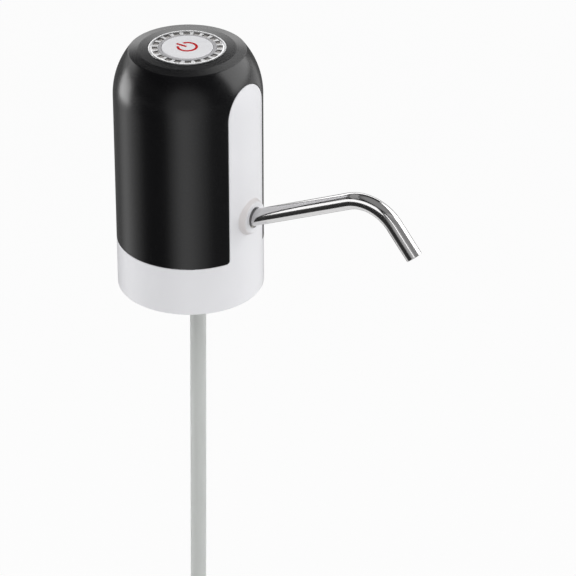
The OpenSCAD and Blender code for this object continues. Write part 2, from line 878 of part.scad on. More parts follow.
// Leads from the motor's terminals to the board
module motor_leads() {
    foot = up(drive_at, motor_z + motor_len + terminal_size[2]);
    for (s = [-1, 1])
        lead(foot + [s*terminal_off, 0, 0], [-s*motor_lead_shift[0], motor_lead_shift[1]],
            s < 0 ? lead_red : lead_black);
}

// Pump

// Seal round the shaft at the top of the pump
module shaft_seal() {
    color("#222226") translate(up(drive_at, 0)) ring(seal_r, shaft_r + run_gap, pump_top - seal_h, seal_h);
}

// Pump body with the two gear pockets, the ports and the outlet's stub
module pump_body() {
    port_r = port_d/2;
    port_h = pocket_h + port_over;
    color("#d9d9d4") difference() {
        union() {
            difference() {
                translate([0, 0, pocket_z]) linear_extrude(pump_top - pocket_z) pump_plan();
                axis_cylinder(tube_r + tube_clear, tube_back - tube_clear, tube_front);
            }
            axis_cylinder(barb_r, (block_front - body_r)/cos(spout_rise) - stub_root, stub_end);
        }
        for (p = [drive_at, driven_at]) translate(up(p, pocket_z - cut))
            cylinder(r = pocket_r, h = pocket_h + cut);
        translate(up(inlet_at, pocket_z - cut)) cylinder(r = port_r, h = pocket_h + cut);
        translate(up(outlet_at, pocket_z - cut)) cylinder(r = port_r, h = port_h + cut);
        axis_cylinder(barb_bore_r, (norm(outlet_at) - body_r)/cos(spout_rise), stub_end + cut);
        translate(up(drive_at, pocket_z)) cylinder(r = shaft_r + free_gap, h = pump_top - pocket_z);
        translate(up(drive_at, pump_top - seal_h)) cylinder(r = seal_r, h = seal_h + cut);
        translate(up(driven_at, pocket_z)) cylinder(r = shaft_r, h = pocket_h + pin_seat);
        for (p = pump_screws_at) translate(up(p, pocket_z - cut))
            cylinder(r = screw_r, h = pump_screw_len - cover_t + cut);
    }
}

// Cover under the gears, with the inlet's hole
module pump_cover() {
    color("#d0d0cb") difference() {
        translate([0, 0, floor_top]) linear_extrude(cover_t) pump_plan();
        translate(up(inlet_at, floor_top - cut)) cylinder(r = nipple_bore_r, h = cover_t + 2*cut);
        translate(up(drive_at, pocket_z - pin_seat)) cylinder(r = shaft_r + run_gap, h = pin_seat + cut);
        translate(up(driven_at, pocket_z - pin_seat)) cylinder(r = shaft_r, h = pin_seat + cut);
        for (p = pump_screws_at) {
            translate(up(p, floor_top - cut)) cylinder(r = head_r, h = screw_head_h + cut);
            translate(up(p, floor_top - cut)) cylinder(r = screw_r, h = cover_t + 2*cut);
        }
    }
}

// Screws that join the cover and the pump body
module pump_screws() {
    color(steel) for (p = pump_screws_at) screw(p, floor_top, pump_screw_len);
}

// Gear on the motor's shaft, with a tooth towards the other gear
module drive_gear() {
    color("#efe9d8") translate(up(drive_at, pocket_z + free_gap)) rotate(gear_line) gear(shaft_r);
}

// Gear on the pin, with a gap towards the drive gear
module driven_gear() {
    color("#e4dcc6") translate(up(driven_at, pocket_z + free_gap))
        rotate(gear_line + 180 + 180/gear_teeth) gear(shaft_r + run_gap);
}

// Fixed pin of the driven gear
module idler_pin() {
    color(steel) translate(up(driven_at, pocket_z - pin_seat))
        cylinder(r = shaft_r, h = pocket_h + 2*pin_seat);
}

// Water path

// Nipple in the floor that the suction hose pushes over
module inlet_nipple() {
    color(white_abs) translate(up(inlet_at, 0)) difference() {
        union() {
            translate([0, 0, neck_depth]) cylinder(r = nipple_seat_r, h = floor_t);
            translate([0, 0, nipple_z]) cylinder(r = nipple_r, h = nipple_len + cut);
        }
        translate([0, 0, nipple_z - cut]) cylinder(r = nipple_bore_r, h = nipple_len + floor_t + 2*cut);
    }
}

// Silicone tube between the pump's stub and the spout's socket
module outlet_tube() {
    color(clear_silicone) difference() {
        axis_cylinder(tube_r, tube_back, tube_front);
        axis_cylinder(barb_r, tube_back - cut, tube_front + cut);
    }
}

// Outside of the spout's socket: its body behind the panel and its nose in the boss
module socket_form() {
    axis_cylinder(socket_r, socket_back, socket_step);
    axis_cylinder(socket_nose_r, socket_back, socket_front);
}

// Socket behind the boss, with grooves for the seals and a barb to the tube
module spout_socket() {
    color("#cfd2d6") difference() {
        union() {
            socket_form();
            axis_cylinder(barb_r, barb_end, socket_back + cut);
        }
        axis_cylinder(socket_bore_r, socket_floor, socket_front + cut);
        axis_cylinder(barb_bore_r, barb_end - cut, socket_floor + cut);
        for (w = seal_places)
            axis_cylinder(seal_mid_r + seal_wire_r, w - seal_wire_r, w + seal_wire_r);
    }
}

// Seal rings in the socket's grooves
module spout_seals() {
    color("#1a1a1c") on_spout_axis() for (w = seal_places) translate([0, 0, w])
        rotate_extrude() translate([seal_mid_r, 0]) circle(r = seal_wire_r);
}

// Bush on the spout's inner end; the tube turns in it and both draw out together
module spout_sleeve() {
    color("#e6e6e8") difference() {
        axis_cylinder(sleeve_r, sleeve_back, sleeve_front);
        axis_cylinder(spout_r + run_gap, -spout_in - run_gap, sleeve_front + cut);
        axis_cylinder(spout_r - spout_wall, sleeve_back - cut, sleeve_front);
    }
}

// Bent stainless tube: straight, bend and tip, each a length of the same annulus
module spout() {
    color(steel) on_spout_axis() {
        translate([0, 0, -spout_in]) linear_extrude(spout_in + spout_len) spout_ring();
        translate([0, -bend_r, spout_len]) {
            rotate([90, 0, 90]) rotate_extrude(angle = bend_angle) translate([bend_r, 0]) spout_ring();
            translate([0, bend_r*cos(bend_angle), bend_r*sin(bend_angle)]) rotate([bend_angle, 0, 0])
                linear_extrude(tip_len) spout_ring();
        }
    }
}

// Cross section of the spout's tube
module spout_ring() {
    difference() {
        circle(r = spout_r);
        circle(r = spout_r - spout_wall);
    }
}

// Charging

// Charging socket's outline, grown by a gap, run backwards along +Y
module usb_plan(grow, depth) {
    r = usb_h/2 + grow;
    x = usb_w/2 - usb_h/2;
    rotate([-90, 0, 0]) linear_extrude(depth) {
        square([2*x, 2*r], center = true);
        for (s = [-1, 1]) translate([s*x, 0]) circle(r = r);
    }
}

// Board on the lower plate that carries the charging socket
module charge_board() {
    color(board_green) translate([-charge_w/2, charge_y, charge_z])
        cube([charge_w, charge_len, board_t]);
}

// Metal charging socket with its contact tongue
module usb_socket() {
    color(steel) translate([0, usb_front, usb_z]) {
        difference() {
            usb_plan(0, usb_len);
            translate([0, usb_back, 0]) usb_plan(-usb_wall, usb_len);
        }
        translate([-usb_w/4, 0, -usb_tongue/2]) cube([usb_w/2, usb_len - usb_back, usb_tongue]);
    }
}

// Leads from the charging board up to the control board
module charge_leads() {
    for (s = [-1, 1])
        lead([s*charge_lead_x, charge_lead_y, charge_z + board_t],
            [-s*charge_lead_shift[0], charge_lead_shift[1]], s < 0 ? lead_red : lead_black);
}

// Hose that hangs into the bottle
module suction_hose() {
    color(clear_silicone) translate(up(inlet_at, 0))
        swept_tube(hose_path, hose_od/2, hose_id/2, hose_sides);
}

outer_shell();
white_body();
neck_socket();
seat_gasket();
bezel_ring();
light_ring();
button_cap();
power_mark();
switch_plunger();
switch_body();
control_board();
status_leds();
board_screws();
inner_frame();
base_screws();
battery_cell();
battery_tabs();
battery_leads();
motor_can();
motor_endcap();
motor_bushes();
motor_magnets();
motor_terminals();
motor_armature();
motor_shaft();
motor_leads();
shaft_seal();
pump_body();
pump_cover();
pump_screws();
drive_gear();
driven_gear();
idler_pin();
inlet_nipple();
outlet_tube();
spout_socket();
spout_seals();
spout_sleeve();
spout();
charge_board();
usb_socket();
charge_leads();
suction_hose();
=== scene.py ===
"""Electric water jug pump: the looks of its casing, button, spout and hose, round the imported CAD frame."""
import json
import math

import bmesh
import bpy
import numpy as np
from bpy.props import FloatProperty, FloatVectorProperty, IntProperty, PointerProperty
from mathutils import Matrix, Vector


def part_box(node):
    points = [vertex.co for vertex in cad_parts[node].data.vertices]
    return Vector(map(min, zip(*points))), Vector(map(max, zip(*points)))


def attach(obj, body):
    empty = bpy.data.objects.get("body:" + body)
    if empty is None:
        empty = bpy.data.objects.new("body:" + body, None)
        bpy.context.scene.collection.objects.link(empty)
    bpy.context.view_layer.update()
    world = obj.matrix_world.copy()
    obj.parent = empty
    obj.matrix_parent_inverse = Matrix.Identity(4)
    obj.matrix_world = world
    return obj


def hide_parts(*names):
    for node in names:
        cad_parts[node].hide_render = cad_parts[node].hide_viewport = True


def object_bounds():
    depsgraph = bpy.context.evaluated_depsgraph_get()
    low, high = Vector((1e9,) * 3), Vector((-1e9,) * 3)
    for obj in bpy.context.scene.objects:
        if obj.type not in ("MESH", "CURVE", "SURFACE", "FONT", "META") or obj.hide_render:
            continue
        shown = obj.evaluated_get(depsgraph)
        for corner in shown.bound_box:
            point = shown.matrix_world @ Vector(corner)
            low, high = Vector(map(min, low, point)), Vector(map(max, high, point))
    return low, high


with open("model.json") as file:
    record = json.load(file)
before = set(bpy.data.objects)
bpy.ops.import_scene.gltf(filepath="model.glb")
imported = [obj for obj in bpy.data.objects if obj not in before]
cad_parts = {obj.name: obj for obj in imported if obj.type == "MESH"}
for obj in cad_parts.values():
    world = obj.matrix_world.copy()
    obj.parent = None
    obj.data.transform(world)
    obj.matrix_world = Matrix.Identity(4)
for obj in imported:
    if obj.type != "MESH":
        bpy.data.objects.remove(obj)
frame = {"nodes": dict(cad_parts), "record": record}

bl_info = {
    "name": "Water jug pump",
    "version": (1, 0, 0),
    "blender": (4, 5, 0),
    "location": "View3D > Sidebar > Jug pump",
    "description": "Builds the casing, button, spout and suction hose of a jug pump round its CAD frame",
    "category": "Object",
}

CAD_BOX = [[float(v) for v in corner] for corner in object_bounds()]
MM = 0.001
TAU = 2*math.pi


def linear(code):
    """Linear colour of an sRGB hex value."""
    part = np.array([int(code[k:k + 2], 16) for k in (1, 3, 5)])/255
    return tuple(np.where(part <= 0.04045, part/12.92, ((part + 0.055)/1.055)**2.4).tolist())


# Settings

def length(label, about, millimetres):
    """A length property, given in millimetres and kept in metres."""
    return FloatProperty(name=label, description=about, default=millimetres*MM, unit="LENGTH", subtype="DISTANCE",
                         precision=5)


def colour(label, about, code):
    """A colour property, given as an sRGB hex value and kept linear."""
    return FloatVectorProperty(name=label, description=about, default=linear(code), subtype="COLOR", size=3,
                               min=0, max=1)


class CasingSettings(bpy.types.PropertyGroup):
    """Sizes of the black shell and the white body."""
    diameter: length("Body diameter", "Outside of the straight wall", 72)
    wall: length("Wall", "Thickness of both mouldings", 2.2)
    skirt: length("Skirt height", "Height of the white skirt below the black shell", 25)
    shoulder_radius: length("Shoulder radius", "Radius of the dome's arc", 37)
    crease_radius: length("Crease radius", "Radius of the edge between the dome and the top", 28.2)
    crease_height: length("Crease height", "Height of the edge between the dome and the top", 124.8)
    flat_radius: length("Flat radius", "Radius of the level part of the top", 23.45)
    top: length("Top height", "Height of the level top", 126)
    window: length("Panel half width", "Half the width of the white front panel", 14)
    arch: length("Arch height", "Height of the centre of the panel's round top", 101)
    corner: length("Panel corner", "Radius where the panel runs into the skirt", 1.7)
    seam: length("Seam", "Gap between the two mouldings", 0.15)
    edge: length("Edge rounding", "Rounding of the mouldings' edges at the seam", 0.35)


class SpoutSettings(bpy.types.PropertyGroup):
    """Sizes of the spout and of the boss that it comes out of."""
    radius: length("Tube radius", "Outside radius of the steel tube", 4)
    wall: length("Tube wall", "Thickness of the steel tube", 0.5)
    inside: length("Inner length", "Length of tube inside the body", 13)
    straight: length("Straight length", "Length from the body's wall to the bend", 61.2)
    bend: length("Bend radius", "Radius of the tube's middle line in the bend", 21.5)
    tip: length("Tip length", "Length of tube after the bend", 17.4)
    outlet: length("Outlet height", "Height at which the tube leaves the wall", 44.7)
    rise: FloatProperty(name="Rise", description="Angle of the tube above level", default=math.radians(25),
                        subtype="ANGLE")
    turn: FloatProperty(name="Turn", description="Angle of the bend", default=math.radians(75), subtype="ANGLE")
    boss: length("Boss radius", "Outside radius of the round boss at its foot", 9.1)
    boss_face: length("Boss face", "Distance of the boss's upright face from the wall", 2.3)
    boss_bevel: length("Boss bevel", "How far the boss's side leans in", 1.1)
    boss_hole: length("Boss hole", "Radius of the hole that the tube passes through", 4.8)


class ButtonSettings(bpy.types.PropertyGroup):
    """Sizes of the bezel, the light ring, the button and its sign."""
    bezel_radius: length("Bezel radius", "Outside radius of the bezel", 18.6)
    bezel_hole: length("Bezel hole", "Inside radius of the bezel", 14)
    bezel_top: length("Bezel top", "Height of the bezel's rim", 126.3)
    flutes: IntProperty(name="Pockets", description="Number of pockets round the bezel", default=20, min=3)
    flute_width: length("Pocket width", "Width of each pocket", 3)
    ring_radius: length("Light ring", "Outside radius of the light ring's face", 14)
    cap_radius: length("Button radius", "Radius of the button", 12.3)
    cap_top: length("Button height", "Height of the button's face", 126.6)
    sign_radius: length("Sign radius", "Outside radius of the power sign", 5.1)
    sign_width: length("Sign stroke", "Width of the power sign's strokes", 1.25)
    sign_bar: length("Sign bar", "Reach of the sign's bar from the middle", 6.1)


class HoseSettings(bpy.types.PropertyGroup):
    """Sizes of the suction hose."""
    diameter: length("Hose diameter", "Outside of the silicone hose", 8)
    bore: length("Hose bore", "Inside of the silicone hose", 5.4)


class FinishSettings(bpy.types.PropertyGroup):
    """Colours of the finishes that show."""
    shell: colour("Shell", "Black ABS of the shell", "#0E0E10")
    body: colour("Body", "White ABS of the body and the button", "#EDEDF0")
    # Painted shade: a greyer colour on the boss's side that stands in for the shade that side lies in
    painted_collar_shade: colour("Collar", "Matt, slightly greyer side of the spout's boss", "#D8D4D4")
    trim: colour("Trim", "Bright plating on the bezel's ribs", "#F0F0F1")
    # Painted shade: a darker colour in the bezel's pockets that stands in for the shade in those recesses
    painted_pocket_shade: colour("Pockets", "Dull plating in the bezel's pockets", "#BDBAB8")
    diffuser: colour("Light ring", "Frosted plastic of the light ring", "#B2B1B4")
    sign: colour("Sign", "Red ink of the power sign", "#C81014")
    steel: colour("Steel", "Stainless steel of the spout", "#D8D7D7")
    hose: colour("Hose", "Milky silicone of the hose", "#EEF0EE")


# Surfaces

def grid(points, wrap_rows=False, wrap_columns=False, keep=None):
    """Quads between the neighbours of a (rows, columns, 3) array; a wrapped way closes on itself, and cells
    where keep is false are left out."""
    rows, columns = points.shape[:2]
    index = np.arange(rows*columns).reshape(rows, columns)
    if wrap_rows:
        index = np.vstack([index, index[:1]])
    if wrap_columns:
        index = np.hstack([index, index[:, :1]])
    quads = np.stack([index[:-1, :-1], index[:-1, 1:], index[1:, 1:], index[1:, :-1]], axis=-1)
    return points.reshape(-1, 3), quads[keep] if keep is not None else quads.reshape(-1, 4)


def revolve(profile, turn):
    """A profile of (radius, height) carried round the upright axis, through angles counted from the front: across
    is radius sin(turn) and towards the back -radius cos(turn)."""
    radius, height = np.asarray(profile).T
    return np.stack([np.outer(radius, np.sin(turn)), -np.outer(radius, np.cos(turn)),
                     np.outer(height, np.ones(len(turn)))], axis=-1)


def rounded(points, radii, steps=4):
    """A profile whose corners are arcs. The arc of radius r at a corner touches both sides at r/tan(half the
    corner's angle) from it, and a guard point beyond each end keeps the shading of the flats flat."""
    points = np.asarray(points, float)
    parts = [points[:1]]
    for before, here, after, radius in zip(points, points[1:], points[2:], radii):
        to_before = (before - here)/np.linalg.norm(before - here)
        to_after = (after - here)/np.linalg.norm(after - here)
        half = math.acos(np.clip(to_before @ to_after, -1, 1))/2
        reach = radius/math.tan(half)
        guard = reach + 0.3*radius
        inward = (to_before + to_after)/np.linalg.norm(to_before + to_after)
        centre = here + inward*radius/math.sin(half)
        start = here + to_before*reach - centre
        end = here + to_after*reach - centre
        sweep = math.pi - 2*half
        share = np.linspace(0, 1, steps + 1)[:, None]
        arc = (np.sin((1 - share)*sweep)*start + np.sin(share*sweep)*end)/math.sin(sweep)
        parts += [[here + to_before*guard], centre + arc, [here + to_after*guard]]
    return np.vstack(parts + [points[-1:]])


def ease(value, low, high):
    """Smooth step of a value from 0 at low to 1 at high: s^2 (3 - 2 s)."""
    share = np.clip((value - low)/(high - low), 0, 1)
    return share*share*(3 - 2*share)


def rim_of(values, top, bottom, left, right):
    """Values on the edge of a block of grid points, once round."""
    return np.concatenate([values[top, left:right], values[top:bottom, right], values[bottom, right:left:-1],
                           values[bottom:top:-1, left]])


def tube_frame(path):
    """Tangent, side and up directions along a path whose side stays close to level."""
    ahead = np.gradient(path, axis=0)
    ahead /= np.linalg.norm(ahead, axis=1)[:, None]
    side = np.cross(ahead, [0, 1, 0] if abs(ahead[0, 2]) > 0.9 else [0, 0, 1])
    side /= np.linalg.norm(side, axis=1)[:, None]
    return ahead, side, np.cross(side, ahead)


def tube(path, outer, inner, lip_shift, lip_radius, sides):
    """A wall carried along a path: out along the outside, over the far lip, back along the bore and over the near
    lip. Row k lies at path point rows[k], moved shift[k] along it, as a circle of radius radii[k]. Also gives
    each point's place on the tube laid out straight."""
    last, lip = len(path) - 1, len(lip_shift)
    between = np.arange(1, last)
    rows = np.concatenate([between, np.full(lip, last), between[::-1], np.zeros(lip, int)])
    shift = np.concatenate([0*between, lip_shift, 0*between, -lip_shift[::-1]])
    radii = np.concatenate([0*between + outer, lip_radius, 0*between + inner, lip_radius[::-1]])
    ahead, side, up = tube_frame(path)
    turn = np.linspace(0, TAU, sides, endpoint=False)
    ring = np.cos(turn)[None, :, None]*side[rows][:, None] + np.sin(turn)[None, :, None]*up[rows][:, None]
    points = (path[rows] + ahead[rows]*shift[:, None])[:, None] + radii[:, None, None]*ring
    run = np.concatenate([[0], np.cumsum(np.linalg.norm(np.diff(path, axis=0), axis=1))])
    straight = np.stack([np.outer(radii, np.cos(turn)), np.outer(radii, np.sin(turn)),
                         np.outer(run[rows] + shift, np.ones(sides))], axis=-1)
    return points, straight


def piece(name, patches, values=None, label="place", sharp=40):
    """One mesh object in metres from patches of points in millimetres, with doubles merged, faces outward and
    an optional vector attribute."""
    start = np.cumsum([0] + [len(points) for points, _ in patches[:-1]])
    points = np.concatenate([points for points, _ in patches])*MM
    quads = np.concatenate([faces + k for (_, faces), k in zip(patches, start)])
    mesh = bpy.data.meshes.new(name)
    mesh.from_pydata(points, [], quads)
    if values is not None:
        layer = mesh.attributes.new(label, "FLOAT_VECTOR", "POINT")
        layer.data.foreach_set("vector", np.ascontiguousarray(values, dtype=np.float32).ravel())
    work = bmesh.new()
    work.from_mesh(mesh)
    bmesh.ops.remove_doubles(work, verts=work.verts, dist=2e-6)
    bmesh.ops.dissolve_degenerate(work, edges=work.edges, dist=1e-7)
    bmesh.ops.recalc_face_normals(work, faces=work.faces)
    work.to_mesh(mesh)
    work.free()
    mesh.polygons.foreach_set("use_smooth", np.ones(len(mesh.polygons), dtype=bool))
    mesh.set_sharp_from_angle(angle=math.radians(sharp))
    made = bpy.data.objects.new(name, mesh)
    bpy.context.scene.collection.objects.link(made)
    return made


def dress(made, material, body, slot, *nodes):
    """Gives a piece its material and its body, and hides the CAD nodes that it stands for; slot is not used."""
    made.data.materials.append(material)
    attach(made, body)
    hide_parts(*nodes)


# Casing

class Casing:
    """The body's outer skin and the seam between its two mouldings, in millimetres."""

    def __init__(self, sizes):
        for key in ("wall", "skirt", "top", "arch", "corner", "seam", "edge"):
            setattr(self, key, getattr(sizes, key)/MM)
        self.radius = sizes.diameter/2/MM
        self.arc = sizes.shoulder_radius/MM
        self.crease = np.array([sizes.crease_radius, sizes.crease_height])/MM
        self.flat = sizes.flat_radius/MM
        self.half = sizes.window/MM
        self.middle = self.radius - self.arc
        self.shoulder = self.crease[1] - math.sqrt(self.arc**2 - (self.crease[0] - self.middle)**2)
        # Charging slot: height of its middle, half its width and half its height
        self.usb = (44.1, 4.9, 2.0)
        # Width of the band of faces along the seam
        self.band = 1.2
        # Columns round the back and across the panel, and in half of each hole's block
        self.round_columns = 168
        self.panel_columns = 40
        self.usb_columns = 8
        self.boss_columns = 17
        # Heights down the panel's straight side, with even rows at the blocks where a hole is let in
        self.boss_block, self.usb_block = (57.7, 31.7), (50.1, 38.1)
        stops = (self.arch, self.boss_block[0], *self.usb_block, self.boss_block[1], self.skirt + self.corner)
        counts = (26, 6, 12, 6, 5)
        self.side_rows = np.concatenate([np.linspace(a, b, n, endpoint=False)
                                         for a, b, n in zip(stops, stops[1:], counts)])
        self.arch_turn = np.radians(np.linspace(90, 0, 40, endpoint=False))
        self.corner_turn = np.radians(np.linspace(0, 90, 9))
        self.round_share = np.linspace(0, 1, self.round_columns + 1)

    def tilt(self, height):
        """Slope of the skin: upright up to the shoulder, then asin((height - shoulder)/arc) on the dome."""
        return np.arcsin(np.clip((height - self.shoulder)/self.arc, 0, 1))

    def skin(self, turn, height, depth=0):
        """Point at an angle from the front and a height on the skin, sunk by a depth square to it: its radius is
        middle + (arc - depth) cos(tilt)."""
        tilt = self.tilt(height)
        radius = self.middle + (self.arc - depth)*np.cos(tilt)
        level = height - depth*np.sin(tilt) + 0*turn
        return np.stack([radius*np.sin(turn), -radius*np.cos(turn), level], axis=-1)

    def turn_at(self, across, height):
        """Angle from the front of a point across the panel: asin(across/radius at that height)."""
        return np.arcsin(across/(self.middle + self.arc*np.cos(self.tilt(height))))

    def seam_edge(self, off):
        """Angle and height of the seam's right half moved by off towards the shell: the panel's round top, its
        side, the corner and the skirt's top edge to the middle of the back."""
        reach = self.half + off
        bend = self.corner - off
        across = np.concatenate([reach*np.cos(self.arch_turn), np.full(len(self.side_rows), reach),
                                 self.half + self.corner - bend*np.cos(self.corner_turn)])
        height = np.concatenate([self.arch + reach*np.sin(self.arch_turn), self.side_rows,
                                 self.skirt + self.corner - bend*np.sin(self.corner_turn)])
        turn = self.turn_at(across, height)
        along = turn[-1] + self.round_share[1:self.round_columns//2 + 1]*(TAU - 2*turn[-1])
        return np.concatenate([turn, along]), np.concatenate([height, np.full(len(along), self.skirt + off)])

    def seam_strip(self, side, gap):
        """Both halves of a moulding's edge: its outer face, a quarter round, the wall and its inner face. side
        is 1 for the shell and -1 for the body."""
        arc = np.radians(np.linspace(0, 90, 6))
        edge, guard, inset = self.edge, 0.12, 0.85
        off = np.concatenate([[self.band, inset, gap + edge + guard], gap + edge*(1 - np.sin(arc)),
                              [gap, gap, inset, self.band]])
        sunk = np.concatenate([[0, 0, 0], edge*(1 - np.cos(arc)), [edge + guard] + 3*[self.wall]])
        lines = [self.skin(*self.seam_edge(side*o), d) for o, d in zip(off, sunk)]
        strip = np.stack(lines, axis=1)
        return [grid(strip), grid(strip*[-1, 1, 1])]

    def sheet(self, turn, height, hole=None):
        """Outer and inner faces over a grid of angles and heights, without the cells of a hole's block."""
        keep = np.ones((turn.shape[0] - 1, turn.shape[1] - 1), bool)
        if hole is not None:
            keep[hole[0]:hole[1], hole[2]:hole[3]] = False
        return [grid(self.skin(turn, height), keep=keep), grid(self.skin(turn, height, self.wall), keep=keep)]

    def fronts(self, side):
        """Angle and height of the seam band's far edge, from the crown down to the end of the corner."""
        count = len(self.arch_turn) + len(self.side_rows) + len(self.corner_turn)
        turn, height = self.seam_edge(side*self.band)
        return turn[:count, None], height[:count, None]

    def row_at(self, level):
        """Index of the row of the fronts at a height of the panel's straight side."""
        return len(self.arch_turn) + int(np.argmin(np.abs(self.side_rows - level)))

    def shell(self):
        """Black shell: the seam band, the wall round the back with the charging slot, and the domed top."""
        turn, height = self.fronts(1)
        turn = turn + self.round_share*(TAU - 2*turn)
        height = height + 0*turn
        middle = self.round_columns//2
        hole = (*map(self.row_at, self.usb_block), middle - self.usb_columns, middle + self.usb_columns)
        patches = self.seam_strip(1, self.seam) + self.sheet(turn, height, hole)
        patches.append(grid(self.charging_slot(rim_of(turn, *hole), rim_of(height, *hole)), wrap_columns=True))
        patches.append(grid(revolve(self.dome(height[0, 0]), TAU*self.round_share)))
        return patches

    def dome(self, start):
        """Section of the shell's top: the dome's arc, the crease, the sloped ring, the faintly crowned level ring,
        the bezel's seat, the hole for the light ring, and back along the inner face."""
        def arc(depth, low, high):
            tilt = np.linspace(low, high, 18)
            return np.stack([self.middle + (self.arc - depth)*np.cos(tilt),
                             self.shoulder + (self.arc - depth)*np.sin(tilt)], axis=-1)
        low = float(self.tilt(start))
        crown, seat, inner_top = self.top - 0.3, self.top - 1.2, self.top - 2.6
        seat_radius, hole_radius = 18.7, 14.95
        outer = arc(0, low, float(self.tilt(self.crease[1])))
        high = math.asin((inner_top - self.shoulder)/(self.arc - self.wall))
        inner = arc(self.wall, high, low)
        corners = [outer[-2], self.crease, (self.flat, crown), (seat_radius, self.top), (seat_radius, seat),
                   (hole_radius, seat), (hole_radius, inner_top), inner[0]]
        roundings = (0.55, 1.5, 0.25, 0.1, 0.15, 0.15)
        return np.vstack([outer[:-2], rounded(corners, roundings), inner[1:]])

    def charging_slot(self, turn, height):
        """Rings from a block's edge to the slot's outline, through the wall and back to the block inside. The
        outline is two half circles joined by flats, met by rays from its middle."""
        level, reach, half = self.usb
        across = self.radius*np.sin(turn)
        ray = np.arctan2(height - level, across)
        cosine, sine = np.abs(np.cos(ray)), np.abs(np.sin(ray))
        flat = half/np.maximum(sine, 1e-9)
        ends = (reach - half)*cosine + np.sqrt(np.maximum(half**2 - ((reach - half)*sine)**2, 0))
        slot = np.where(flat*cosine <= reach - half, flat, ends)
        block = np.hypot(across, height - level)
        arc = np.radians(np.linspace(0, 90, 5))
        edge, guard, apron = 0.4, 0.15, 1.0
        far = [block, 0.5*block + 0.5*slot, slot + apron, slot + edge + guard]
        far += [slot + edge*(1 - math.sin(a)) for a in arc] + [slot, slot, slot + apron, block]
        sunk = [0, 0, 0, 0] + [edge*(1 - math.cos(a)) for a in arc] + [edge + guard] + 3*[self.wall]
        return np.stack([self.skin(math.pi - np.arcsin(distance*np.cos(ray)/self.radius),
                                   level + distance*np.sin(ray), depth) for distance, depth in zip(far, sunk)])

    def body(self, spout):
        """White body: the seam band, the front panel with the boss, the skirt and the hidden locating lip. Also
        gives each point's share of the painted shade on the boss's matt side."""
        turn, height = self.fronts(-1)
        share = np.linspace(-1, 1, self.panel_columns + 1)
        across = turn*share
        height = height + 0*across
        middle = self.panel_columns//2
        hole = (*map(self.row_at, self.boss_block), middle - self.boss_columns, middle + self.boss_columns)
        patches = self.seam_strip(-1, 0) + self.sheet(across, height, hole)
        rim = rim_of(self.skin(across, height), *hole)
        back = rim_of(self.skin(across, height, self.wall), *hole)
        rings, side = boss(spout, self.radius, rim, back)
        count = sum(len(points) for points, _ in patches)
        patches.append(grid(rings, wrap_columns=True))
        corner = across[-1, -1]
        around = np.concatenate([across[-1], (corner + self.round_share*(TAU - 2*corner))[1:-1]])
        low = self.skirt - self.band
        inner = self.radius - self.wall
        outer_edge, inner_edge, last_row = 0.55, 0.3, 1.2
        foot = rounded([(self.radius, low), (self.radius, 0), (inner, 0), (inner, low)], (outer_edge, inner_edge))
        rows = np.linspace(low, last_row, 14)[1:]
        foot = np.vstack([foot[:1], np.stack([0*rows + self.radius, rows], axis=-1), foot[1:]])
        patches.append(grid(revolve(foot, around), wrap_columns=True))
        lip_out, lip_in, lip_low, lip_high = 33.9, 32.2, 20.4, 28.5
        lip_start = (lip_out, 24)
        lip = rounded([lip_start, (lip_out, lip_high), (lip_in, lip_high), (lip_in, lip_low), (lip_out, lip_low),
                       lip_start], (0.3, 0.3, 0.2, 0.2))
        patches.append(grid(revolve(lip[:-1], around), wrap_rows=True, wrap_columns=True))
        # Share of painted shade per point: a greyer colour on the boss's side that stands in for its shade
        painted_collar_shade = np.zeros((sum(len(points) for points, _ in patches), 3))
        painted_collar_shade[count:count + side.size*len(rim), 0] = np.repeat(side, len(rim))
        return patches, painted_collar_shade


def spout_axes(spout):
    """Direction of the spout's line and the direction square to it, in the upright plane through the front."""
    ahead = np.array([0, -math.cos(spout.rise), math.sin(spout.rise)])
    up = np.array([0, math.sin(spout.rise), math.cos(spout.rise)])
    return ahead, up


